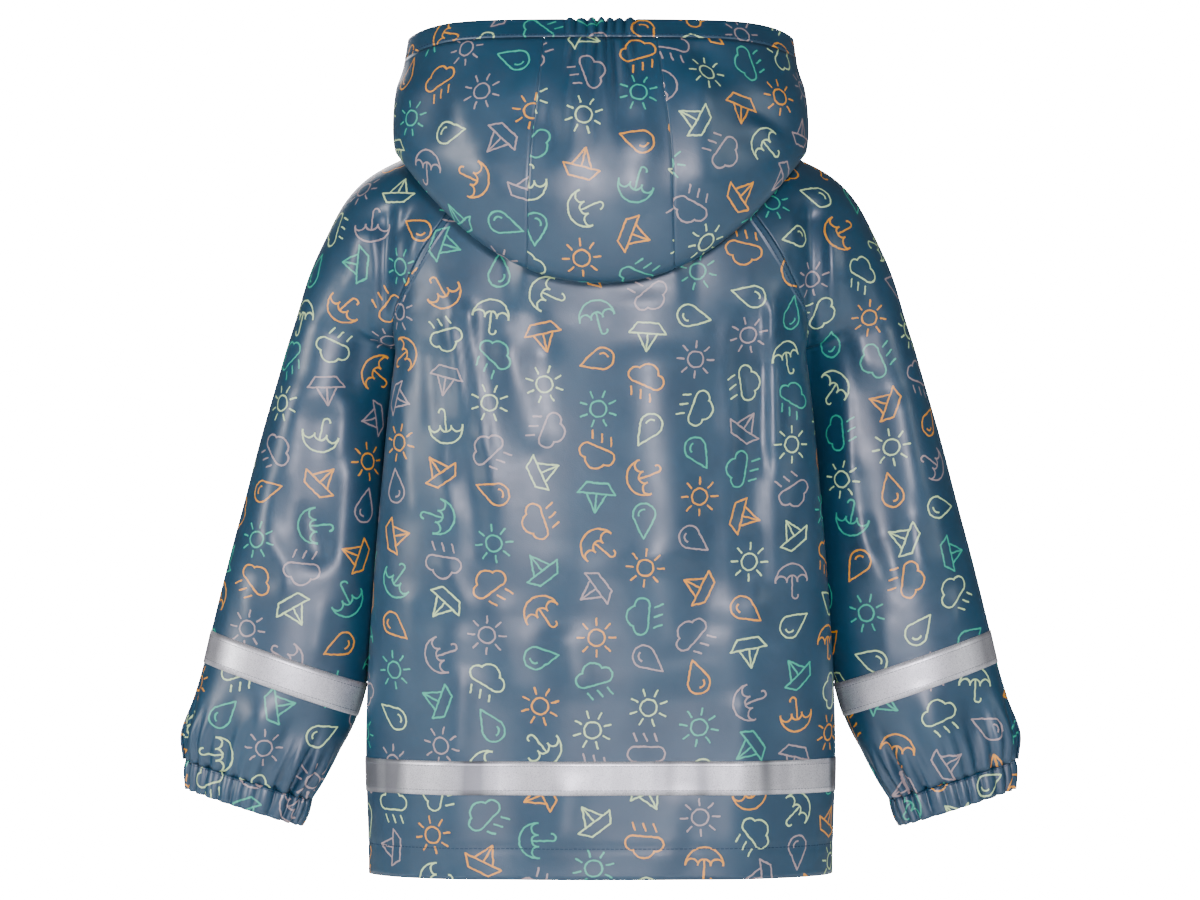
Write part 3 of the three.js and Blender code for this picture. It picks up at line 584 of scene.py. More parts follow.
def shell(name, grid, flip=False, ring=False, thick=CLOTH, lift=0.0, flat=None, shift=(0, 0)):
    """A closed thin body from a grid of outer points in mm, with its flat cut as a UV map in metres."""
    rows, columns = grid.shape[:2]
    n = outward(grid, flip, ring)
    outer = grid + n * lift
    inner = grid + n * (lift - thick)
    points = np.concatenate([outer.reshape(-1, 3), inner.reshape(-1, 3)]) * MM
    index = np.arange(rows * columns).reshape(rows, columns)
    if ring:
        index = np.concatenate([index, index[:, :1]], 1)
    a, b, c, d = index[:-1, :-1], index[1:, :-1], index[1:, 1:], index[:-1, 1:]
    total = rows * columns
    front_side = np.stack([a, b, c, d], -1).reshape(-1, 4)
    back_side = np.stack([a, d, c, b], -1).reshape(-1, 4) + total
    rims = []

    def rim(line, reverse):
        p, q = line[:-1], line[1:]
        quad = np.stack([p, q, q + total, p + total], -1)
        rims.append(quad[:, ::-1] if reverse else quad)

    rim(index[0], False)
    rim(index[-1], True)
    if not ring:
        rim(index[:, 0], True)
        rim(index[:, -1], False)
    faces = np.concatenate([front_side, back_side, *rims])
    if flip:
        faces = faces[:, ::-1]
    mesh = bpy.data.meshes.new(name)
    mesh.vertices.add(len(points))
    mesh.vertices.foreach_set("co", points.astype(np.float32).ravel())
    mesh.loops.add(faces.size)
    mesh.loops.foreach_set("vertex_index", faces.astype(np.int32).ravel())
    mesh.polygons.add(len(faces))
    mesh.polygons.foreach_set("loop_start", np.arange(0, faces.size, 4, dtype=np.int32))
    mesh.update(calc_edges=True)
    mesh.polygons.foreach_set("use_smooth", np.ones(len(faces), bool))
    inside = np.zeros(len(faces), np.int32)
    inside[len(front_side):len(front_side) + len(back_side)] = 1
    mesh.polygons.foreach_set("material_index", inside)
    if flat is not None:
        uv = np.concatenate([flat.reshape(-1, 2)] * 2) * MM + np.array(shift)
        layer = mesh.uv_layers.new(name="flat")
        layer.uv.foreach_set("vector", uv[faces.ravel()].astype(np.float32).ravel())
    mesh.validate()
    obj = bpy.data.objects.new(name, mesh)
    bpy.context.scene.collection.objects.link(obj)
    return obj


def cloth_piece(obj, node, grid, flat):
    """Puts a piece in the frame and declares its cut."""
    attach(obj, "root")
    if node:
        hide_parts(node)
    size = np.ptp(flat.reshape(-1, 2), axis=0) * MM
    area = float(face_areas(grid).sum()) * MM * MM
    area = min(max(area, 0.31 * size[0] * size[1]), 0.999 * size[0] * size[1])
    flat_cut[obj.name] = (round(float(size[0]), 3), round(float(size[1]), 3), round(area, 4))
    print(f"{obj.name}: {len(obj.data.polygons)} faces, cut {size[0] * 1000:.0f} x {size[1] * 1000:.0f} mm")


def finer(keys, step):
    """Stations through the given keys, about `step` apart."""
    parts = [np.linspace(a, b, max(1, round((b - a) / step)) + 1)[:-1] for a, b in zip(keys[:-1], keys[1:])]
    return np.concatenate([*parts, [keys[-1]]])


# %% [markdown]
# ## The back and the fronts
# The back is one panel. The left front laps over the right one, and press studs will hold the lap.

# %% Cutting the body panels
COARSE = 1.0
BODY_ROWS = finer([0, 4, 8, *TAPE_ROWS, HEM_STITCH, HEM], 0.14 * COARSE)
NEAR_SEAM = 0.9
HALF = np.concatenate([np.linspace(0, NEAR_SEAM, 52), np.linspace(NEAR_SEAM, 1, 17)[1:]])
PIECES = {}


def from_edge(grid, end):
    """Distance along each row from its first (0) or last (-1) column, in mm."""
    steps = np.linalg.norm(np.diff(grid, axis=1), axis=-1)
    zero = np.zeros((grid.shape[0], 1))
    if end == 0:
        return np.concatenate([zero, np.cumsum(steps, 1)], 1)
    return np.concatenate([np.cumsum(steps[:, ::-1], 1)[:, ::-1], zero], 1)


def pressed(grid, flip, rows, end, felled_to=None, keep=1.0):
    """A narrow groove at a seam and, down to the row felled_to, the raised band of its allowance."""
    away = from_edge(grid, end)
    n = outward(grid, flip)
    height = -0.55 * np.exp(-(away / 1.1) ** 2)
    if felled_to is not None:
        on = ease((felled_to - rows) / 0.5)[:, None]
        height = height + on * 0.75 * ease((away - 0.6) / 1.0) * ease((8.0 - away) / 1.2)
    return grid + n * (height * keep)[..., None]


def drawn_up(grid, flip, rows, at, reach=0.3, height=0.3):
    """Fine puckers where a long stitch line has drawn the cloth up."""
    n = outward(grid, flip)
    along = from_edge(grid, 0)
    near = np.exp(-((rows - at) / reach) ** 2)[:, None]
    ripple = np.sin(along * 0.62 + 1.3 * np.sin(along * 0.11)) + 0.5 * np.sin(along * 0.93 + 2)
    dent = -0.45 * np.exp(-((rows - at) / 0.05) ** 2)[:, None]
    return grid + n * (height * near * ripple + dent)[..., None]


def make_panel(name, grid, flip, shift):
    flat = lay_flat(grid)
    obj = shell(name, grid, flip=flip, flat=flat, shift=shift)
    cloth_piece(obj, name, grid, flat)
    PIECES[name] = dict(obj=obj, grid=grid, flip=flip, flat=flat)
    return obj


def evened(grid, share, rounds=70):
    """Takes the crease out of the middle of a panel at the underarm's level; its seams stay."""
    weight = (ease((0.9 - np.abs(share)) / 0.3) * ease((BODY_ROWS - 4.5) / 2)[:, None] * ease((12 - BODY_ROWS) / 2)[:, None])[..., None]
    for _ in range(rounds):
        mean = (grid[:-2] + grid[2:]) / 2
        grid[1:-1] += (mean - grid[1:-1]) * 0.5 * weight[1:-1]
    return grid


across = np.concatenate([-HALF[:0:-1], HALF])
back_grid = folded(evened(body(BACK, BODY_ROWS[:, None], across[None]), across[None]))
for end in (0, -1):
    back_grid = pressed(back_grid, True, BODY_ROWS, end, felled_to=UNDERARM)
make_panel("back", drawn_up(back_grid, True, BODY_ROWS, HEM_STITCH), True, (0.02, 0.01))

LAP = 2 / 12 * FRONT.columns["flat"][0] * FRONT.columns["x"][0]
lap_reach = LAP / (FRONT(BODY_ROWS)["flat"] * FRONT(BODY_ROWS)["x"])
lap_share = np.linspace(-1, 0, 5)[:-1]
front_across = np.concatenate([lap_share[None] * lap_reach[:, None], np.repeat(HALF[None], len(BODY_ROWS), 0)], 1)
for front_name, flip, share, shift in (("front_left", False, front_across, (0.61, 0.07)),
                                       ("front_right", True, -front_across, (1.23, 0.03))):
    grid = front(BODY_ROWS[:, None], share, not flip, settle=evened)
    grid = pressed(grid, flip, BODY_ROWS, -1, felled_to=UNDERARM)
    make_panel(front_name, drawn_up(grid, flip, BODY_ROWS, HEM_STITCH, height=0.2), flip, shift)

# %% [markdown]
# ## The sleeves
# A raglan sleeve runs up to the neck. It is cut as a back and a front half, joined over the arm and
# under it. Just above each cuff the cloth is drawn together by the elastic, so small puckers run up from
# the cuff seam and die out after a few centimetres.

# %% Cutting the sleeve panels
SLEEVE_ROWS = finer([0, 4, 8, *SLEEVE_TAPE_ROWS, 17.5, CUFF_ROW], 0.115 * COARSE)
ROUND = np.concatenate([np.linspace(0, NEAR_SEAM, 62), np.linspace(NEAR_SEAM, 1, 11)[1:]])
CUFF_GATHERS = 26


def gather_wave(turn):
    """Rounded ridges with narrow valleys, no two alike; turn runs once round the cuff."""
    phase = CUFF_GATHERS * turn + 1.1 * np.sin(4 * turn + 0.5) + 0.7 * np.sin(7 * turn + 2.0)
    uneven = 1 + 0.25 * np.sin(3 * turn + 0.7) + 0.22 * np.sin(5 * turn + 2.1)
    return (2 * np.abs(np.cos(phase / 2)) ** 0.7 - 1.1) * uneven


def puckered(p, row, turn, flip):
    """Puckers above the cuff, as many as the cuff has gathers; every third or so runs higher."""
    n = outward(p, flip)
    near = ease((row - 17.0) / (CUFF_ROW - 17.0))
    high = ease((row - 16.3) / 2.2) * (1 - 0.6 * ease((row - 18.3) / 0.7))
    long_ones = 2 * np.abs(np.cos(4.5 * turn + 0.9 * np.sin(3 * turn))) ** 0.7 - 1
    depth = 3.0 * near * gather_wave(turn) + 3.3 * high * long_ones
    return p + n * depth[..., None]


def sleeve_grid(table, handles, way, mirror):
    p = sleeve(table, handles, way, SLEEVE_ROWS[:, None], ROUND[None])
    row, across = np.broadcast_arrays(SLEEVE_ROWS[:, None], ROUND[None])
    turn = np.pi * across if way > 0 else 2 * np.pi - np.pi * across
    if mirror:
        p = mirrored(p)
    flip = (way < 0) != mirror
    p = pressed(folded(p), flip, SLEEVE_ROWS, 0, keep=0.7)
    return puckered(pressed(p, flip, SLEEVE_ROWS, -1), row, turn, flip), flip


for side_name, mirror, shift in (("left", False, 0.13), ("right", True, 0.29)):
    for half_name, table, handles, way in (("back", BACK, RAGLAN_BACK, 1), ("front", FRONT, RAGLAN_FRONT, -1)):
        grid, flip = sleeve_grid(table, handles, way, mirror)
        make_panel(f"sleeve_{side_name}_{half_name}", grid, flip, (shift + 0.4 * (way < 0), shift * 0.5))

# %% [markdown]
# ## The hood
# Three panels make the hood: a long centre one between two sides. It hangs open behind the neck like a
# shallow bag. Its edge is turned over an elastic, which gathers the middle of the brim.

# %% Cutting the hood panels and its casing
HOOD_SHARES = finer([0, 0.2, 0.5, 0.8, 0.95], 0.0085 * COARSE)


def hood_stations(a, b, count):
    return np.linspace(a, b, count)


EDGE = 0.012
half_middle = np.concatenate([hood_stations(0, SEAM_F - EDGE, 40), hood_stations(SEAM_F - EDGE, SEAM_F, 8)[1:]])
middle = np.concatenate([-half_middle[:0:-1], half_middle])
sides = np.concatenate([hood_stations(SEAM_F, SEAM_F + EDGE, 8)[:-1], hood_stations(SEAM_F + EDGE, 0.34, 14)[:-1], hood_stations(0.34, 0.72, 36)[:-1],
                        hood_stations(0.72, 1, 26)])
centre_grid = hood(HOOD_SHARES[:, None], middle[None])
for end in (0, -1):
    centre_grid = pressed(centre_grid, False, HOOD_SHARES, end)
make_panel("hood_centre", centre_grid, False, (0.05, 0.09))
make_panel("hood_left", pressed(hood(HOOD_SHARES[:, None], sides[None]), False, HOOD_SHARES, 0), False, (0.83, 0.31))
make_panel("hood_right", pressed(hood(HOOD_SHARES[:, None], -sides[None]), True, HOOD_SHARES, 0), True, (0.37, 0.77))

casing_rows = np.linspace(0.9515, 1, 9)
casing_f = np.concatenate([-sides[::-1], hood_stations(-SEAM_F, SEAM_F, 161)[1:-1], sides])
make_panel("hood_casing", hood(casing_rows[:, None], casing_f[None]), False, (0.05, 0.5))

# %% [markdown]
# ## The cuffs
# Each cuff is the sleeve's end turned over an elastic. Twenty-six gathers stand round it, each a rounded
# ridge with a narrow valley, and no two are quite alike.

# %% Gathering the cuffs
CUFF_END = dict(outX=311.0, outZ=-489.0, inX=224.5, inZ=-517.0)


def cuff_grid(mirror):
    top = {k: float(v[-1]) for k, v in ARM.columns.items()}
    s = np.linspace(0, 1, 9)[:, None]
    turn = np.linspace(0, 2 * np.pi, CUFF_GATHERS * 12 + 1)[:-1][None]
    outer = point(top["outX"] + s * (CUFF_END["outX"] - top["outX"]), ARM_Y, top["outZ"] + s * (CUFF_END["outZ"] - top["outZ"]))
    inner = point(top["inX"] + s * (CUFF_END["inX"] - top["inX"]), ARM_Y, top["inZ"] + s * (CUFF_END["inZ"] - top["inZ"]))
    middle_point, wide = (outer + inner) / 2, (outer - inner) / 2
    grow = 1 + 0.03 * np.sin(np.pi * s) + 0 * turn
    p = middle_point + wide * (np.cos(turn) * grow)[..., None] + point(0, 27 * np.sin(turn) * grow, 0)
    n = outward(p, False, True)
    swing = 1 + 0.15 * np.sin(6 * s + 3 * turn)
    p = p + n * (1.7 * gather_wave(turn + 0.02 * s) * swing)[..., None]
    return mirrored(p) if mirror else p


for side_name, mirror in (("left", False), ("right", True)):
    grid = cuff_grid(mirror)
    around = np.linspace(0, 1, grid.shape[1])[None] * 330
    down = -np.linspace(0, 1, grid.shape[0])[:, None] * 46
    flat = np.stack(np.broadcast_arrays(around, down), -1) * 1.0
    name = f"cuff_{side_name}"
    obj = shell(name, grid, flip=mirror, ring=True, thick=1.5, flat=flat * [1, 0.5], shift=(0.2 + 0.3 * mirror, 0.4))
    cloth_piece(obj, name, grid, flat)
    PIECES[name] = dict(obj=obj, grid=grid, flip=mirror, flat=flat)

# %% [markdown]
# ## Reflective tapes
# Silver tape 25 mm wide runs round the body and each sleeve. It is sewn flat on the cloth, so each strip
# is made from the points of the panel under it, moved out.

# %% Laying the tapes
def tape(name, of, rows, levels, first=0):
    p = PIECES[of]
    keep = np.flatnonzero((rows >= levels[0] - 1e-6) & (rows <= levels[1] + 1e-6))
    grid = p["grid"][keep[0]:keep[-1] + 1, first:]
    flat = p["flat"][keep[0]:keep[-1] + 1, first:]
    n = outward(p["grid"], p["flip"])[keep[0]:keep[-1] + 1, first:]
    obj = shell(name, grid + n * 0.15, flip=p["flip"], thick=0.5, lift=0.5, flat=flat)
    cloth_piece(obj, name, grid, flat)
    PIECES[name] = dict(obj=obj, grid=grid + n * 0.65, flip=p["flip"], flat=flat)


tape("tape_back", "back", BODY_ROWS, TAPE_ROWS)
tape("tape_front_left", "front_left", BODY_ROWS, TAPE_ROWS)
under_lap = int(np.argmax(PIECES["front_right"]["grid"][-1, :, 0] < -13))
tape("tape_front_right", "front_right", BODY_ROWS, TAPE_ROWS, under_lap)
for side_name in ("left", "right"):
    for half_name in ("back", "front"):
        tape(f"tape_sleeve_{side_name}_{half_name}", f"sleeve_{side_name}_{half_name}", SLEEVE_ROWS, SLEEVE_TAPE_ROWS)

# %% [markdown]
# ## Press studs
# Five flat press studs close the lap. They sit on the left front at the centre line.

# %% Setting the studs
def stud(number, row):
    centre = front(np.array([row - 0.2, row, row + 0.2]), np.zeros(3), True)
    up = centre[0] - centre[2]
    out = np.cross([1.0, 0, 0], up)
    out /= np.linalg.norm(out)
    if out[1] > 0:
        out = -out
    profile = [(0, 1.9), (2.2, 1.85), (4.0, 1.7), (4.9, 1.35), (5.4, 0.7), (5.5, 0.2), (5.3, 0.0), (0, 0.0)]
    sides_count = 40
    turn = np.linspace(0, 2 * np.pi, sides_count + 1)[:-1]
    e1 = np.array([1.0, 0, 0])
    e2 = np.cross(out, e1)
    points, faces = [], []
    for radius, height in profile[1:-1]:
        points += [centre[1] + e1 * radius * math.cos(t) + e2 * radius * math.sin(t) + out * (0.3 + height) for t in turn]
    rings = len(profile) - 2
    for k in range(rings - 1):
        for j in range(sides_count):
            a, b = k * sides_count + j, k * sides_count + (j + 1) % sides_count
            faces.append([a, a + sides_count, b + sides_count, b])
    faces.append(list(range(sides_count)))
    faces.append([(rings - 1) * sides_count + j for j in reversed(range(sides_count))])
    mesh = bpy.data.meshes.new(f"stud_{number}")
    mesh.from_pydata([tuple(q * MM) for q in points], [], faces)
    mesh.polygons.foreach_set("use_smooth", [True] * (len(faces) - 2) + [False] * 2)
    obj = bpy.data.objects.new(f"stud_{number}", mesh)
    bpy.context.scene.collection.objects.link(obj)
    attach(obj, "root")
    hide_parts(f"stud_{number}")
    return obj


studs = [stud(k + 1, 0.8 + (22 - 0.8) * k / 4) for k in range(5)]
print("studs:", len(studs))

# %% [markdown]
# ## Stitching
# Sewing thread shows as short dashes a little above the cloth: along the hood's casing, down the raglan
# seams, along both edges of each tape, round the cuffs and along the hem.

# %% Rows of stitches
def stitch_rows(name, lines, spacing=3.4, long=2.5, wide=0.34, high=0.24):
    """Short rounded bars along each line of (points, outward normals) in mm."""
    points, faces = [], []
    for path, normals in lines:
        steps = np.linalg.norm(np.diff(path, axis=0), axis=1)
        at = np.concatenate([[0], np.cumsum(steps)])
        count = int(at[-1] / spacing)
        for k in range(count):
            centre = (k + 0.5) * spacing
            ends = [np.array([np.interp(centre + s * long / 2, at, path[:, c]) for c in range(3)]) for s in (-1, 1)]
            n = np.array([np.interp(centre, at, normals[:, c]) for c in range(3)])
            n /= np.linalg.norm(n)
            along = ends[1] - ends[0]
            side_way = np.cross(n, along)
            side_way *= wide / (np.linalg.norm(side_way) + 1e-9)
            base = len(points)
            for end, s in ((ends[0], -1), (ends[1], 1)):
                low = end + n * 0.02
                top = end - along / np.linalg.norm(along) * s * 0.35 + n * high
                points += [low - side_way, low + side_way, top + side_way * 0.6, top - side_way * 0.6]
            b = base
            faces += [[b, b + 1, b + 5, b + 4], [b + 1, b + 2, b + 6, b + 5], [b + 2, b + 3, b + 7, b + 6],
                      [b + 3, b, b + 4, b + 7], [b, b + 3, b + 2, b + 1], [b + 4, b + 5, b + 6, b + 7]]
    mesh = bpy.data.meshes.new(name)
    mesh.from_pydata((np.array(points) * MM).tolist(), [], faces)
    obj = bpy.data.objects.new(name, mesh)
    bpy.context.scene.collection.objects.link(obj)
    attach(obj, "root")
    print(f"{name}: {len(faces) // 6} stitches")
    return obj


def along_row(piece, index, first=0, last=None):
    p = PIECES[piece]
    n = outward(p["grid"], p["flip"])
    return p["grid"][index, first:last], n[index, first:last]


def along_column(piece, index, first=0, last=None):
    p = PIECES[piece]
    n = outward(p["grid"], p["flip"])
    return p["grid"][first:last, index], n[first:last, index]


def at_distance(piece, end, distance, last):
    """A line that keeps its distance in mm from a side edge of a panel."""
    p = PIECES[piece]
    grid, n = p["grid"][1:last], outward(p["grid"], p["flip"])[1:last]
    away = from_edge(p["grid"], end)[1:last]
    order = slice(None) if end == 0 else slice(None, None, -1)
    pick = lambda values: np.array([[np.interp(distance, away[i, order], values[i, order, c]) for c in range(3)]
                                    for i in range(len(away))])
    return pick(grid), pick(n)


def near_row(rows, at):
    return int(np.abs(rows - at).argmin())


threads = []
hem = near_row(BODY_ROWS, HEM_STITCH)
threads.append(stitch_rows("stitches_hem", [along_row(n, hem) for n in ("back", "front_left", "front_right")]))
tape_lines = [along_row(n, k) for n in PIECES if n.startswith("tape") for k in (1, -2)]
threads.append(stitch_rows("stitches_tapes", tape_lines, spacing=3.0, long=2.3, wide=0.22, high=0.18))
raglan_end = near_row(BODY_ROWS, UNDERARM)
threads.append(stitch_rows("stitches_raglan", [at_distance(n, end, d, raglan_end) for n, end in
                                               (("back", 0), ("back", -1), ("front_left", -1), ("front_right", -1))
                                               for d in (1.6, 6.4)]))
threads.append(stitch_rows("stitches_hood_casing", [along_row("hood_casing", 1)]))
threads.append(stitch_rows("stitches_cuffs", [along_row("cuff_left", 1), along_row("cuff_right", 1)], spacing=3.0, long=2.2))

# %% [markdown]
# ## Coated cloth and its print
# The cloth is a knit with a smooth coating, so it has a soft gloss: broad pale sheen where the light
# falls and deep teal in the folds. The print is a loose scatter of small line drawings, a rainy-day set
# in orange, pale lime, sea green and mauve grey. Each drawing is made of distances to lines and circles
# in the cloth's own flat cut, so it stays crisp and bends with the folds.

# %% A small helper for shader sums
class Value:
    """A socket that can be added, multiplied and so on, each step being one node."""

    def __init__(self, tree, socket):
        self.tree, self.socket = tree, socket

    def op(self, kind, *others, clamp=False):
        node = self.tree.nodes.new("ShaderNodeMath")
        node.operation = kind
        node.use_clamp = clamp
        for k, item in enumerate((self, *others)):
            if isinstance(item, Value):
                self.tree.links.new(item.socket, node.inputs[k])
            else:
                node.inputs[k].default_value = item
        return Value(self.tree, node.outputs[0])

    def __add__(self, o): return self.op("ADD", o)
    def __sub__(self, o): return self.op("SUBTRACT", o)
    def __mul__(self, o): return self.op("MULTIPLY", o)
    def __truediv__(self, o): return self.op("DIVIDE", o)
    def __neg__(self): return self.op("MULTIPLY", -1.0)
    def abs(self): return self.op("ABSOLUTE")
    def floor(self): return self.op("FLOOR")
    def least(self, o): return self.op("MINIMUM", o)
    def most(self, o): return self.op("MAXIMUM", o)
    def below(self, o): return self.op("LESS_THAN", o)
    def above(self, o): return self.op("GREATER_THAN", o)


def length_of(x, y):
    return (x * x + y * y).op("SQRT")


def segment(x, y, ax, ay, bx, by):
    dx, dy = bx - ax, by - ay
    share = ((x - ax) * (dx / (dx * dx + dy * dy)) + (y - ay) * (dy / (dx * dx + dy * dy))).op("ADD", 0.0, clamp=True)
    return length_of(x - ax - share * dx, y - ay - share * dy)


def segments(x, y, *places):
    found = None
    for (ax, ay), (bx, by) in zip(places[:-1], places[1:]):
        d = segment(x, y, ax, ay, bx, by)
        found = d if found is None else found.least(d)
    return found


def circle(x, y, cx, cy, r):
    return (length_of(x - cx, y - cy) - r).abs()


def arc_above(x, y, cx, cy, r):
    return circle(x, y, cx, cy, r).most(-(y - cy))


def arc_below(x, y, cx, cy, r):
    return circle(x, y, cx, cy, r).most(y - cy)


# %% [markdown]
# ## The drawings
# Five plain motifs, each about 27 mm across, drawn with a line of 1.6 mm: an umbrella, a cloud with rain,
# a drop, a paper boat and a sun.

# %% Five motifs as distances
def umbrella(x, y):
    d = arc_above(x, y, 0, -1, 12.5)
    for cx in (-8.3, 0, 8.3):
        d = d.least(arc_above(x, y, cx, -1, 4.15))
    d = d.least(segment(x, y, 0, 3, 0, -10.5))
    return d.least(arc_below(x, y, -2.4, -10.5, 2.4))


def cloud(x, y):
    d = length_of(x + 7, y - 2) - 5.2
    d = d.least(length_of(x - 0.5, y - 5) - 7.2).least(length_of(x - 8, y - 2) - 5.0)
    d = d.least(((x - 0.5).abs() - 8).most((y + 1).abs() - 2)).abs()
    for cx in (-6.5, 0.5, 7.5):
        d = d.least(segment(x, y, cx, -7, cx - 2.2, -12))
    return d


def drop(x, y):
    d = circle(x, y, 0, -4, 7.6).most(y + 0.6)
    d = d.least(segments(x, y, (-7.0, -1.2), (-3.6, 6.0), (0, 12.5), (3.6, 6.0), (7.0, -1.2)))
    return d.least(circle(x, y, 0, -4, 3.6).most(x).most(y + 3.4))


def boat(x, y):
    hull = segments(x, y, (-13, -2), (-7.5, -9.5), (7.5, -9.5), (13, -2), (-13, -2))
    sail = segments(x, y, (-7, -2), (0, 11), (7, -2))
    return hull.least(sail).least(segment(x, y, 0, 11, 0, -2))


def sun(x, y):
    far = length_of(x, y)
    turn = y.op("ARCTAN2", x)
    part = turn.op("PINGPONG", math.pi / 8)
    ray_x, ray_y = far * part.op("COSINE"), far * part.op("SINE")
    return (far - 5.6).abs().least(segment(ray_x, ray_y, 8.6, 0, 13.0, 0))


MOTIFS = (umbrella, cloud, drop, boat, sun)


# %% [markdown]
# ## Scattering the drawings
# The cloth is divided into cells of 38 by 34 mm, with every other column half a cell lower. A cell has one
# drawing, turned and shifted by its own random amounts, in one of the four colours.

# %% The print as a group of nodes
def srgb(code):
    c = [int(code[k:k + 2], 16) / 255 for k in (1, 3, 5)]
    return [v / 12.92 if v <= 0.04045 else ((v + 0.055) / 1.055) ** 2.4 for v in c] + [1.0]


INKS = (srgb("#FFA800"), srgb("#D0F2AC"), srgb("#30BE98"), srgb("#AE9A98"))
CELL_WIDE, CELL_TALL, LINE, MOTIF_SHRINK = 38.0, 34.0, 0.58, 0.93


def make_print():
    tree = bpy.data.node_groups.new("print", "ShaderNodeTree")
    tree.interface.new_socket("Ink", in_out="OUTPUT", socket_type="NodeSocketFloat")
    tree.interface.new_socket("Color", in_out="OUTPUT", socket_type="NodeSocketColor")
    out = tree.nodes.new("NodeGroupOutput")
    uv = tree.nodes.new("ShaderNodeUVMap")
    uv.uv_map = "flat"
    wobble = tree.nodes.new("ShaderNodeTexNoise")
    wobble.inputs["Scale"].default_value = 260
    wobble.inputs["Detail"].default_value = 2
    tree.links.new(uv.outputs[0], wobble.inputs["Vector"])
    parts = tree.nodes.new("ShaderNodeSeparateXYZ")
    tree.links.new(uv.outputs[0], parts.inputs[0])
    shake = tree.nodes.new("ShaderNodeSeparateXYZ")
    tree.links.new(wobble.outputs["Color"], shake.inputs[0])
    x = Value(tree, parts.outputs[0]) * 1000 + (Value(tree, shake.outputs[0]) - 0.5) * 1.5
    y = Value(tree, parts.outputs[1]) * 1000 + (Value(tree, shake.outputs[1]) - 0.5) * 1.5
    column = (x / CELL_WIDE).floor()
    lowered = y + column.op("MODULO", 2).abs() * (CELL_TALL / 2)
    row = (lowered / CELL_TALL).floor()
    cell_x = x - (column + 0.5) * CELL_WIDE
    cell_y = lowered - (row + 0.5) * CELL_TALL
    key = tree.nodes.new("ShaderNodeCombineXYZ")
    for k, item in enumerate((column, row)):
        tree.links.new(item.socket, key.inputs[k])
    chance = tree.nodes.new("ShaderNodeTexWhiteNoise")
    chance.noise_dimensions = "3D"
    tree.links.new(key.outputs[0], chance.inputs["Vector"])
    split = tree.nodes.new("ShaderNodeSeparateXYZ")
    tree.links.new(chance.outputs["Color"], split.inputs[0])
    r1, r2, r3 = (Value(tree, split.outputs[k]) for k in range(3))
    r4 = Value(tree, chance.outputs["Value"])
    px = (cell_x - (r1 - 0.5) * 5.5) * MOTIF_SHRINK
    py = (cell_y - (r2 - 0.5) * 4.5) * MOTIF_SHRINK
    turn = r3 * (2 * math.pi)
    c, s = turn.op("COSINE"), turn.op("SINE")
    qx, qy = px * c + py * s, py * c - px * s
    which = (column * 2 + row * 3 + r4 * 2).op("FLOORED_MODULO", len(MOTIFS)).floor()
    ink = None
    for k, motif in enumerate(MOTIFS):
        near = (motif(qx, qy) + (which - k).abs() * 100)
        ink = near if ink is None else ink.least(near)
    soft = (ink * -1 + (LINE + 0.15)).op("MULTIPLY", 3.2, clamp=True)
    tree.links.new(soft.socket, out.inputs["Ink"])
    pick = (column + row * 2 + r1 * 2).op("FLOORED_MODULO", 4).floor()
    ramp = tree.nodes.new("ShaderNodeValToRGB")
    ramp.color_ramp.interpolation = "CONSTANT"
    for k, colour in enumerate(INKS):
        stop = ramp.color_ramp.elements[k] if k < 2 else ramp.color_ramp.elements.new(k / 4)
        stop.position = k / 4
        stop.color = colour
    tree.links.new((pick / 4 + 0.1).socket, ramp.inputs[0])
    tree.links.new(ramp.outputs[0], out.inputs["Color"])
    print("print group:", len(tree.nodes), "nodes")
    return tree


PRINT = make_print()


# %% [markdown]
# ## The coating
# The ground is a greyed blue with a slight mottle. Roughness varies a little, as the coating is never
# quite even, and a fine grain breaks up the reflections.

# %% Materials of cloth, tape, studs and thread
def fresh(name):
    material = bpy.data.materials.new(name)
    material.use_nodes = True
    tree = material.node_tree
    return material, tree, tree.nodes["Principled BSDF"]


def noise(tree, scale, detail=3.0, source=None):
    node = tree.nodes.new("ShaderNodeTexNoise")
    node.inputs["Scale"].default_value = scale
    node.inputs["Detail"].default_value = detail
    if source is not None:
        tree.links.new(source, node.inputs["Vector"])
    return node


def mapped(tree, source, low, high, from_low=0.3, from_high=0.7):
    node = tree.nodes.new("ShaderNodeMapRange")
    node.inputs["From Min"].default_value = from_low
    node.inputs["From Max"].default_value = from_high
    node.inputs["To Min"].default_value = low
    node.inputs["To Max"].default_value = high
    tree.links.new(source, node.inputs["Value"])
    return node.outputs[0]


def mixed(tree, factor, a, b):
    node = tree.nodes.new("ShaderNodeMix")
    node.data_type = "RGBA"
    if isinstance(factor, float):
        node.inputs[0].default_value = factor
    else:
        tree.links.new(factor, node.inputs[0])
    for item, socket in ((a, node.inputs[6]), (b, node.inputs[7])):
        if isinstance(item, (list, tuple)):
            socket.default_value = item
        else:
            tree.links.new(item, socket)
    return node.outputs[2]


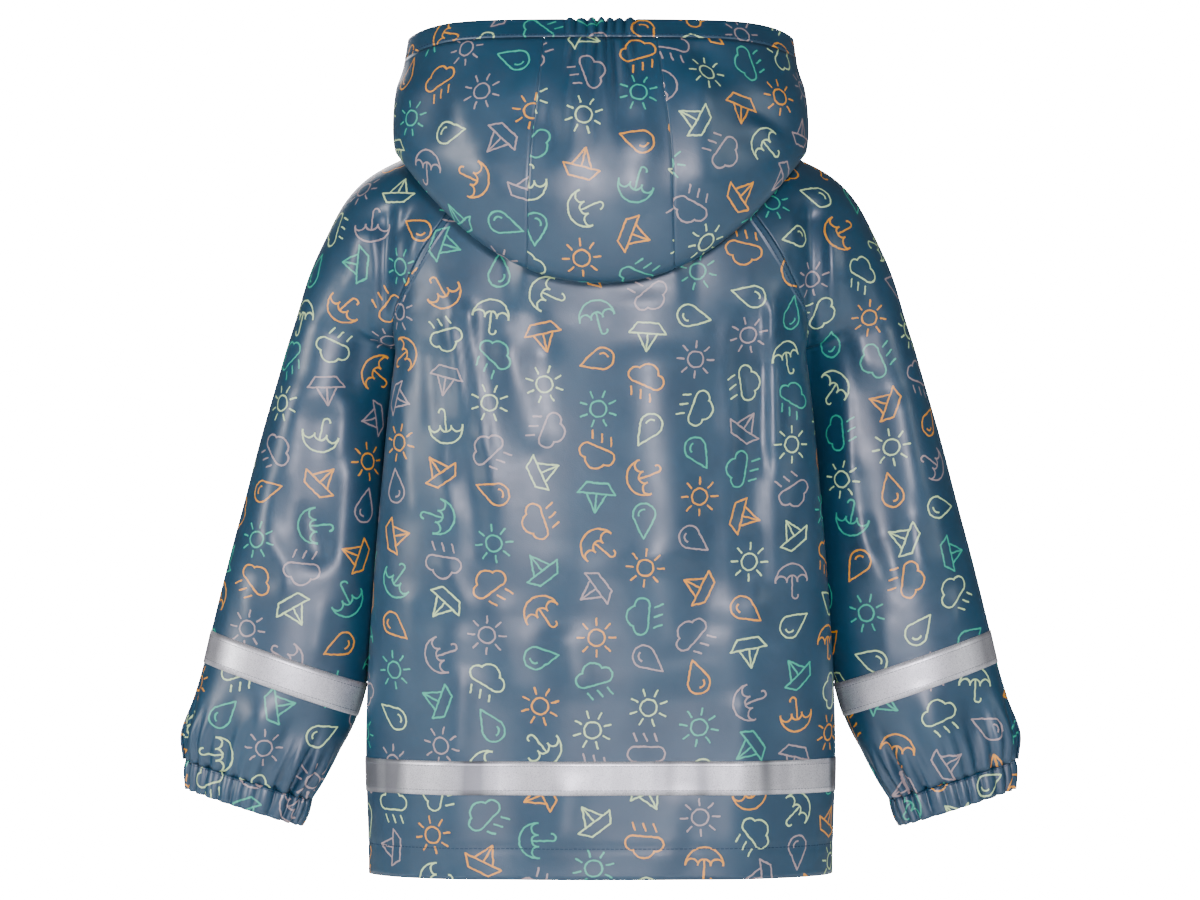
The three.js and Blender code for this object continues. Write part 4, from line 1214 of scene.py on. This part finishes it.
def coated_cloth():
    material, tree, shader = fresh("coated_cloth")
    place = tree.nodes.new("ShaderNodeTexCoord").outputs["Object"]
    mottle = noise(tree, 22, 4, place)
    ground = mixed(tree, mapped(tree, mottle.outputs["Fac"], 0.0, 1.0), srgb("#0A3C54"), srgb("#12465E"))
    group = tree.nodes.new("ShaderNodeGroup")
    group.node_tree = PRINT
    ground = mixed(tree, group.outputs["Ink"], ground, group.outputs["Color"])
    tree.links.new(ground, shader.inputs["Base Color"])
    uneven = noise(tree, 60, 3, place)
    tree.links.new(mapped(tree, uneven.outputs["Fac"], 0.38, 0.46), shader.inputs["Roughness"])
    shader.inputs["Specular IOR Level"].default_value = 1.0
    shader.inputs["Coat Weight"].default_value = 0.06
    shader.inputs["Coat Roughness"].default_value = 0.25
    grain = noise(tree, 1400, 2, place)
    soft = noise(tree, 85, 4, place)
    bump = tree.nodes.new("ShaderNodeBump")
    bump.inputs["Strength"].default_value = 0.18
    bump.inputs["Distance"].default_value = 0.0004
    tree.links.new(grain.outputs["Fac"], bump.inputs["Height"])
    bump2 = tree.nodes.new("ShaderNodeBump")
    bump2.inputs["Strength"].default_value = 0.1
    bump2.inputs["Distance"].default_value = 0.0012
    tree.links.new(soft.outputs["Fac"], bump2.inputs["Height"])
    tree.links.new(bump.outputs[0], bump2.inputs["Normal"])
    tree.links.new(bump2.outputs[0], shader.inputs["Normal"])
    return material


def reflective_tape():
    """Silver grey that turns with the cloth: soft slanting light and dark bands of painted reflection, a fine grain
    and a faint mottle.
    """
    material, tree, shader = fresh("reflective_tape")
    place = tree.nodes.new("ShaderNodeTexCoord").outputs["Object"]
    cut = tree.nodes.new("ShaderNodeUVMap")
    cut.uv_map = "flat"
    slanted = tree.nodes.new("ShaderNodeMapping")
    slanted.inputs["Rotation"].default_value = (0, 0, math.radians(24))
    slanted.inputs["Scale"].default_value = (1, 0.04, 1)
    tree.links.new(cut.outputs[0], slanted.inputs["Vector"])
    # Painted reflection: slanting light and dark bands stand for where the tape catches the light
    reflection_bands = noise(tree, 27, 1.5, slanted.outputs[0])
    mottle = noise(tree, 90, 4, place)
    speck = noise(tree, 1500, 3, place)
    # The bands run the base colour from mid grey to near white, a painted reflection
    base = mixed(tree, mapped(tree, reflection_bands.outputs["Fac"], 0.0, 1.0, 0.42, 0.53), srgb("#8D9093"), srgb("#FCFDFE"))
    base = mixed(tree, mapped(tree, mottle.outputs["Fac"], 0.0, 0.22), base, srgb("#A9ACAF"))
    dark = mixed(tree, mapped(tree, speck.outputs["Fac"], 0.0, 0.5, 0.45, 0.68), base, srgb("#85888B"))
    tree.links.new(dark, shader.inputs["Base Color"])
    shader.inputs["Metallic"].default_value = 0.75
    tree.links.new(mapped(tree, speck.outputs["Fac"], 0.38, 0.5), shader.inputs["Roughness"])
    bump = tree.nodes.new("ShaderNodeBump")
    bump.inputs["Strength"].default_value = 0.12
    bump.inputs["Distance"].default_value = 0.0003
    tree.links.new(speck.outputs["Fac"], bump.inputs["Height"])
    tree.links.new(bump.outputs[0], shader.inputs["Normal"])
    return material


def plain(name, colour, roughness, grain_scale=700):
    material, tree, shader = fresh(name)
    place = tree.nodes.new("ShaderNodeTexCoord").outputs["Object"]
    speck = noise(tree, grain_scale, 2, place)
    deep = [c * 0.8 for c in srgb(colour)[:3]] + [1.0]
    tree.links.new(mixed(tree, mapped(tree, speck.outputs["Fac"], 0.0, 1.0), deep, srgb(colour)), shader.inputs["Base Color"])
    tree.links.new(mapped(tree, speck.outputs["Fac"], roughness - 0.04, roughness + 0.04), shader.inputs["Roughness"])
    return material


CLOTH_MAT, TAPE_MAT, BACKING_MAT = coated_cloth(), reflective_tape(), plain("knit_backing", "#3C6076", 0.75, 1100)
STUD_MAT, THREAD_MAT = plain("stud_gloss", "#3B566C", 0.3), plain("thread", "#1E3E55", 0.7)
SILVER_THREAD = plain("thread_silver", "#8E9297", 0.6)
for name, piece in PIECES.items():
    for material in ((TAPE_MAT, TAPE_MAT) if name.startswith("tape") else (CLOTH_MAT, BACKING_MAT)):
        piece["obj"].data.materials.append(material)
for obj in studs:
    obj.data.materials.append(STUD_MAT)
for obj in threads:
    obj.data.materials.append(SILVER_THREAD if "tapes" in obj.name else THREAD_MAT)

# %% [markdown]
# ## Studio and camera
# A bright backdrop, large soft lights from both sides and from above, and a long lens at the height of
# the coat's middle, straight behind it.

# %% Floor, backdrop, lights and camera
def plate(name, size, location, rotation, colour, glow=0.0):
    bpy.ops.mesh.primitive_plane_add(size=size, location=location, rotation=rotation)
    obj = bpy.context.object
    obj.name = name
    material, tree, shader = fresh(name)
    shader.inputs["Base Color"].default_value = colour
    shader.inputs["Roughness"].default_value = 0.9
    if glow:
        shader.inputs["Emission Color"].default_value = (1, 1, 1, 1)
        shader.inputs["Emission Strength"].default_value = glow
    obj.data.materials.append(material)
    obj.visible_glossy = obj.visible_diffuse = glow < 1
    obj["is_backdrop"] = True
    return obj


def soft_light(name, location, target, size, power, colour=(1, 1, 1)):
    data = bpy.data.lights.new(name, "AREA")
    data.shape = "ELLIPSE"
    data.size, data.size_y = size
    data.energy = power
    data.color = colour
    obj = bpy.data.objects.new(name, data)
    bpy.context.scene.collection.objects.link(obj)
    obj.location = location
    way = np.array(target) - np.array(location)
    yaw = math.atan2(way[1], way[0]) - math.pi / 2
    pitch = math.atan2(way[2], math.hypot(way[0], way[1]))
    obj.rotation_euler = (math.pi / 2 + pitch, 0, yaw)
    return obj


plate("floor", 9, (0, 0, -1.25), (0, 0, 0), (0.9, 0.9, 0.91, 1), glow=0.3)
plate("backdrop", 20, (0, -7.0, 1.0), (math.pi / 2, 0, math.pi), (0.9, 0.9, 0.9, 1), glow=30.0)
soft_light("key", (-0.22, 3.9, 0.3), (0, 0, -0.25), (0.4, 0.56), 108, (0.93, 0.87, 1.0))
soft_light("side", (2.9, 1.7, 0.6), (0, 0, -0.25), (0.6, 1.6), 64, (0.98, 0.94, 1.0))
soft_light("far_side", (-2.6, 1.6, 0.8), (0, 0, -0.25), (0.6, 1.6), 16, (0.96, 0.97, 1.0))
soft_light("front", (0.9, -4.2, 1.4), (0, 0, -0.25), (1.8, 1.8), 70, (1.0, 0.96, 1.0))

world = bpy.data.worlds.new("studio")
bpy.context.scene.world = world
world.use_nodes = True
world.node_tree.nodes["Background"].inputs[0].default_value = (0.9, 0.93, 1.0, 1)
world.node_tree.nodes["Background"].inputs[1].default_value = 0.12

camera_data = bpy.data.cameras.new("camera")
camera_data.lens = 180
camera_data.sensor_width = 36
camera = bpy.data.objects.new("camera", camera_data)
bpy.context.scene.collection.objects.link(camera)
camera.location = (0.0005, 4.5, -0.235)
camera.rotation_euler = (math.pi / 2, 0, math.pi)
bpy.context.scene.camera = camera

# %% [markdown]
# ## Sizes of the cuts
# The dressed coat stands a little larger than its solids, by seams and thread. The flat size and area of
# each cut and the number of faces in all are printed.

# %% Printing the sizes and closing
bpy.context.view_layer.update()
print("cuts:", json.dumps(flat_cut))
total = sum(len(o.data.polygons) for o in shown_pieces() if o.type == "MESH")
print("faces in all:", total)
